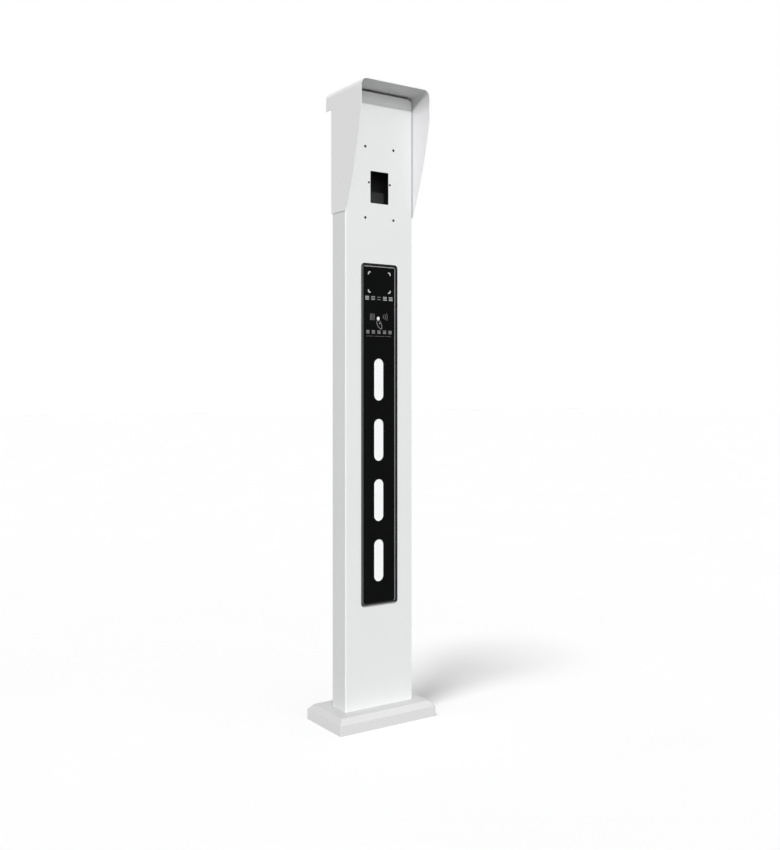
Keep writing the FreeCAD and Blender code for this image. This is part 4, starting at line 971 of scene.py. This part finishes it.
class POST_OT_lights(bpy.types.Operator):
    """Finish the opal sheets, the light box and the board with its light chips"""
    bl_idname = "post.lights"
    bl_label = "Lights"

    def execute(self, context):
        settings = settings_of("post_light")
        for number in (1, 2, 3, 4):
            dress(opal(settings, number), "light_diffuser_%d" % number)
        dress(moulding("light_box_moulding", settings.case, 0.5), "light_box")
        dress(lacquered_board(settings), "led_board")
        dress(moulding("light_chip", settings.chip, 0.3), "led_chips")
        return {"FINISHED"}


class POST_OT_reader(bpy.types.Operator):
    """Finish the scanner and the card reader behind the panel"""
    bl_idname = "post.reader"
    bl_label = "Scanner and Card Reader"

    def execute(self, context):
        settings = settings_of("post_light")
        dress(moulding("carrier_moulding", settings.carrier, 0.55), "reader_carrier", "scanner_housing")
        dress(moulding("scanner_window_red", settings.window, 0.10, 0.02, 0.002 * MM), "scanner_lens")
        dress(lacquered_board(settings), "card_reader_board")
        copper = metal("coil_copper", settings.copper, 0.35)
        grow("reader_coil", coil_tree(copper), [COIL])
        board_chips(moulding("chip_moulding", settings.carrier, 0.5))
        tin = metal("lead_tin", settings_of("post_hardware").zinc, 0.3)
        grow("reader_chip_leads", bars_tree(tin), [{**LEADS, "Size": Vector(LEAD) * MM}])
        return {"FINISHED"}


class POST_OT_equipment(bpy.types.Operator):
    """Finish the equipment plate, the power supply and the terminals"""
    bl_idname = "post.equipment"
    bl_label = "Equipment Plate"

    def execute(self, context):
        settings = settings_of("post_hardware")
        zinc = metal("zinc_sheet", settings.zinc, settings.zinc_roughness, 0.012)
        dress(zinc, "equipment_plate", "din_rail")
        dress(metal("supply_case", settings.case, 0.32), "power_supply")
        dress(moulding("terminal_moulding", settings.terminal, 0.45), "power_terminals", "rail_terminals")
        plated = metal("terminal_screw", settings.zinc, 0.3, 0.003)
        grow("power_screws", screw_tree(plated), [{**POWER_SCREW, **POWER_STRIP}])
        grow("rail_screws", screw_tree(plated), [{**RAIL_SCREW, **RAIL_STRIP}])
        return {"FINISHED"}


class POST_OT_fasteners(bpy.types.Operator):
    """Finish the nuts, screws and clips, and cut the studs' threads"""
    bl_idname = "post.fasteners"
    bl_label = "Fasteners"

    def execute(self, context):
        settings = settings_of("post_hardware")
        zinc = metal("zinc_fastener", settings.zinc, settings.zinc_roughness, 0.003)
        dress(zinc, "hood_nuts", "equipment_nuts", "earth_nut", "frame_clips")
        for node, (radius, reach, places) in STUDS.items():
            size = {"Radius": radius * MM, "Length": reach * MM, "Pitch": settings.thread_pitch}
            grow("threaded_" + node, thread_tree(zinc), [{**size, **places}], [node])
        runs = [{**CLIP_SCREW, **places} for places in (LOW_CLIPS, HIGH_CLIPS)]
        grow("cross_clip_screws", screw_tree(zinc), runs, ["clip_screws"])
        return {"FINISHED"}


class POST_OT_door_hardware(bpy.types.Operator):
    """Finish the gasket, the hinge pins and the cam lock"""
    bl_idname = "post.door_hardware"
    bl_label = "Door Hardware"

    def execute(self, context):
        settings = settings_of("post_hardware")
        dress(moulding("gasket_rubber", settings.rubber, 0.75, 1.5 * MM, 0.05 * MM), "door_gasket")
        dress(metal("hinge_pin_steel", settings.zinc, 0.3), "hinge_pin_1", "hinge_pin_2", "hinge_pin_3")
        dress(turned("lock_chrome", settings.chrome, 0.16, settings, "lock_body"), "lock_body", "lock_plug")
        dress(turned("lock_brass", settings.brass, 0.3, settings, "lock_nut"), "lock_nut")
        dress(metal("cam_zinc", settings.zinc, settings.zinc_roughness), "lock_cam", "cam_screw")
        return {"FINISHED"}


class POST_OT_foot(bpy.types.Operator):
    """Finish the anchor plate and the cable grommet"""
    bl_idname = "post.foot"
    bl_label = "Foot"

    def execute(self, context):
        paint = settings_of("post_paint")
        dress(moulding("anchor_primer", paint.plate, 0.6, 2 * MM, 0.04 * MM, 0.12), "anchor_plate")
        rubber = settings_of("post_hardware").rubber
        dress(moulding("grommet_rubber", rubber, 0.7, 1.5 * MM, 0.05 * MM), "cable_grommet")
        return {"FINISHED"}


# Stage: floor, lights and camera

IMAGE_HEIGHT = 850
FOCAL_PIXELS = 1004.573
HORIZON_PIXEL = 390.258
CAMERA_PLACE = Vector((-1318.1, -2029.3, 787.5)) * MM
CAMERA_TURN = math.radians(34.05)
CAMERA_REACH = 200.0
SENSOR = 36.0
FLOOR_HALF = 30.0


def show(tree, output, sent, seen):
    """Give one shader to rays from the camera, gloss or glass, and another to all other rays."""
    path = put(tree, "ShaderNodeLightPath").outputs
    rays = [Field(tree, path[name]) for name in ("Is Camera Ray", "Is Glossy Ray", "Is Transmission Ray")]
    direct = larger(larger(rays[0], rays[1]), rays[2])
    put(tree, output, {0: made(tree, "ShaderNodeMixShader", {0: direct, 1: sent, 2: seen})})


def floor_material(settings):
    """Pale floor that looks white where no shadow falls and sends little light up."""
    material = bpy.data.materials.new("studio_floor")
    material.use_nodes = True
    tree = material.node_tree
    tree.nodes.clear()
    seen = tint(object_place(tree), settings.floor, 0.6, 0.003)
    show(tree, "ShaderNodeOutputMaterial",
         made(tree, "ShaderNodeBsdfDiffuse", {"Color": (*settings.bounce, 1.0)}),
         made(tree, "ShaderNodeBsdfDiffuse", {"Color": seen}))
    return material


def set_world(settings):
    """Soft light from all round, stronger from the sides than from above, and seen as white."""
    world = bpy.data.worlds.new("studio")
    bpy.context.scene.world = world
    world.use_nodes = True
    tree = world.node_tree
    tree.nodes.clear()
    way = Field(tree, put(tree, "ShaderNodeTexCoord").outputs["Generated"])
    soft = spread(axes(way)[2], settings.horizon, settings.zenith, 0.0, 1.0)
    show(tree, "ShaderNodeOutputWorld",
         made(tree, "ShaderNodeBackground", {"Color": (1, 1, 1, 1), "Strength": soft}),
         made(tree, "ShaderNodeBackground", {"Color": (1, 1, 1, 1), "Strength": 1.0}))


def add_sun(name, energy, softness, side, height, lit):
    """Distant light from the left of the front, at a height over the horizon, for one collection."""
    light = bpy.data.lights.new(name, "SUN")
    light.energy = energy
    light.angle = softness
    way = Vector((math.sin(side) * math.cos(height), math.cos(side) * math.cos(height), -math.sin(height)))
    obj = bpy.data.objects.new(name, light)
    obj.rotation_euler = way.to_track_quat("-Z", "Y").to_euler()
    bpy.context.scene.collection.objects.link(obj)
    obj.light_linking.receiver_collection = lit


def add_camera():
    """Camera at the photograph's viewing angle."""
    data = bpy.data.cameras.new("camera")
    data.sensor_width = SENSOR
    data.lens = FOCAL_PIXELS * SENSOR / IMAGE_HEIGHT
    data.shift_y = (HORIZON_PIXEL - IMAGE_HEIGHT / 2) / IMAGE_HEIGHT
    data.clip_end = CAMERA_REACH
    obj = bpy.data.objects.new("camera", data)
    obj.location = CAMERA_PLACE
    obj.rotation_euler = (math.pi / 2, 0.0, -CAMERA_TURN)
    bpy.context.scene.collection.objects.link(obj)
    bpy.context.scene.camera = obj


class POST_OT_stage(bpy.types.Operator):
    """Lay the floor and set the lights and the camera"""
    bl_idname = "post.stage"
    bl_label = "Stage"

    def execute(self, context):
        settings = settings_of("post_stage")
        mesh = bmesh.new()
        bmesh.ops.create_grid(mesh, x_segments=4, y_segments=4, size=FLOOR_HALF)
        floor = drawn("floor", mesh, floor_material(settings))
        set_world(settings)
        post = bpy.data.collections.new("lit_post")
        for obj in context.scene.objects:
            if obj.type == "MESH" and obj is not floor:
                post.objects.link(obj)
        ground = bpy.data.collections.new("lit_floor")
        ground.objects.link(floor)
        add_sun("key", settings.key, settings.key_softness, settings.key_side, settings.key_height, post)
        add_sun("fill", settings.fill, settings.fill_softness, settings.key_side, settings.fill_height, post)
        add_sun("floor_light", settings.ground, settings.ground_softness,
                settings.ground_side, settings.ground_height, ground)
        add_camera()
        context.scene.view_settings.view_transform = "Standard"
        return {"FINISHED"}


OPERATORS = (POST_OT_sheet_metal, POST_OT_panel_frame, POST_OT_black_sheet, POST_OT_lights,
             POST_OT_reader, POST_OT_equipment, POST_OT_fasteners, POST_OT_door_hardware,
             POST_OT_foot, POST_OT_stage)


class POST_PT_panel(bpy.types.Panel):
    """Steps that finish the intercom post"""
    bl_idname = "POST_PT_panel"
    bl_label = "Intercom Post"
    bl_space_type = "VIEW_3D"
    bl_region_type = "UI"
    bl_category = "Intercom Post"

    def draw(self, context):
        for operator in OPERATORS:
            self.layout.operator(operator.bl_idname)


def register():
    for group in GROUPS.values():
        bpy.utils.register_class(group)
    for name, group in GROUPS.items():
        setattr(bpy.types.Scene, name, PointerProperty(type=group))
    for operator in OPERATORS:
        bpy.utils.register_class(operator)
    bpy.utils.register_class(POST_PT_panel)


def unregister():
    bpy.utils.unregister_class(POST_PT_panel)
    for operator in reversed(OPERATORS):
        bpy.utils.unregister_class(operator)
    for name, group in GROUPS.items():
        delattr(bpy.types.Scene, name)
        bpy.utils.unregister_class(group)


def main():
    register()
    for operator in OPERATORS:
        getattr(bpy.ops.post, operator.bl_idname.split(".")[1])()


if __name__ == "__main__":
    main()
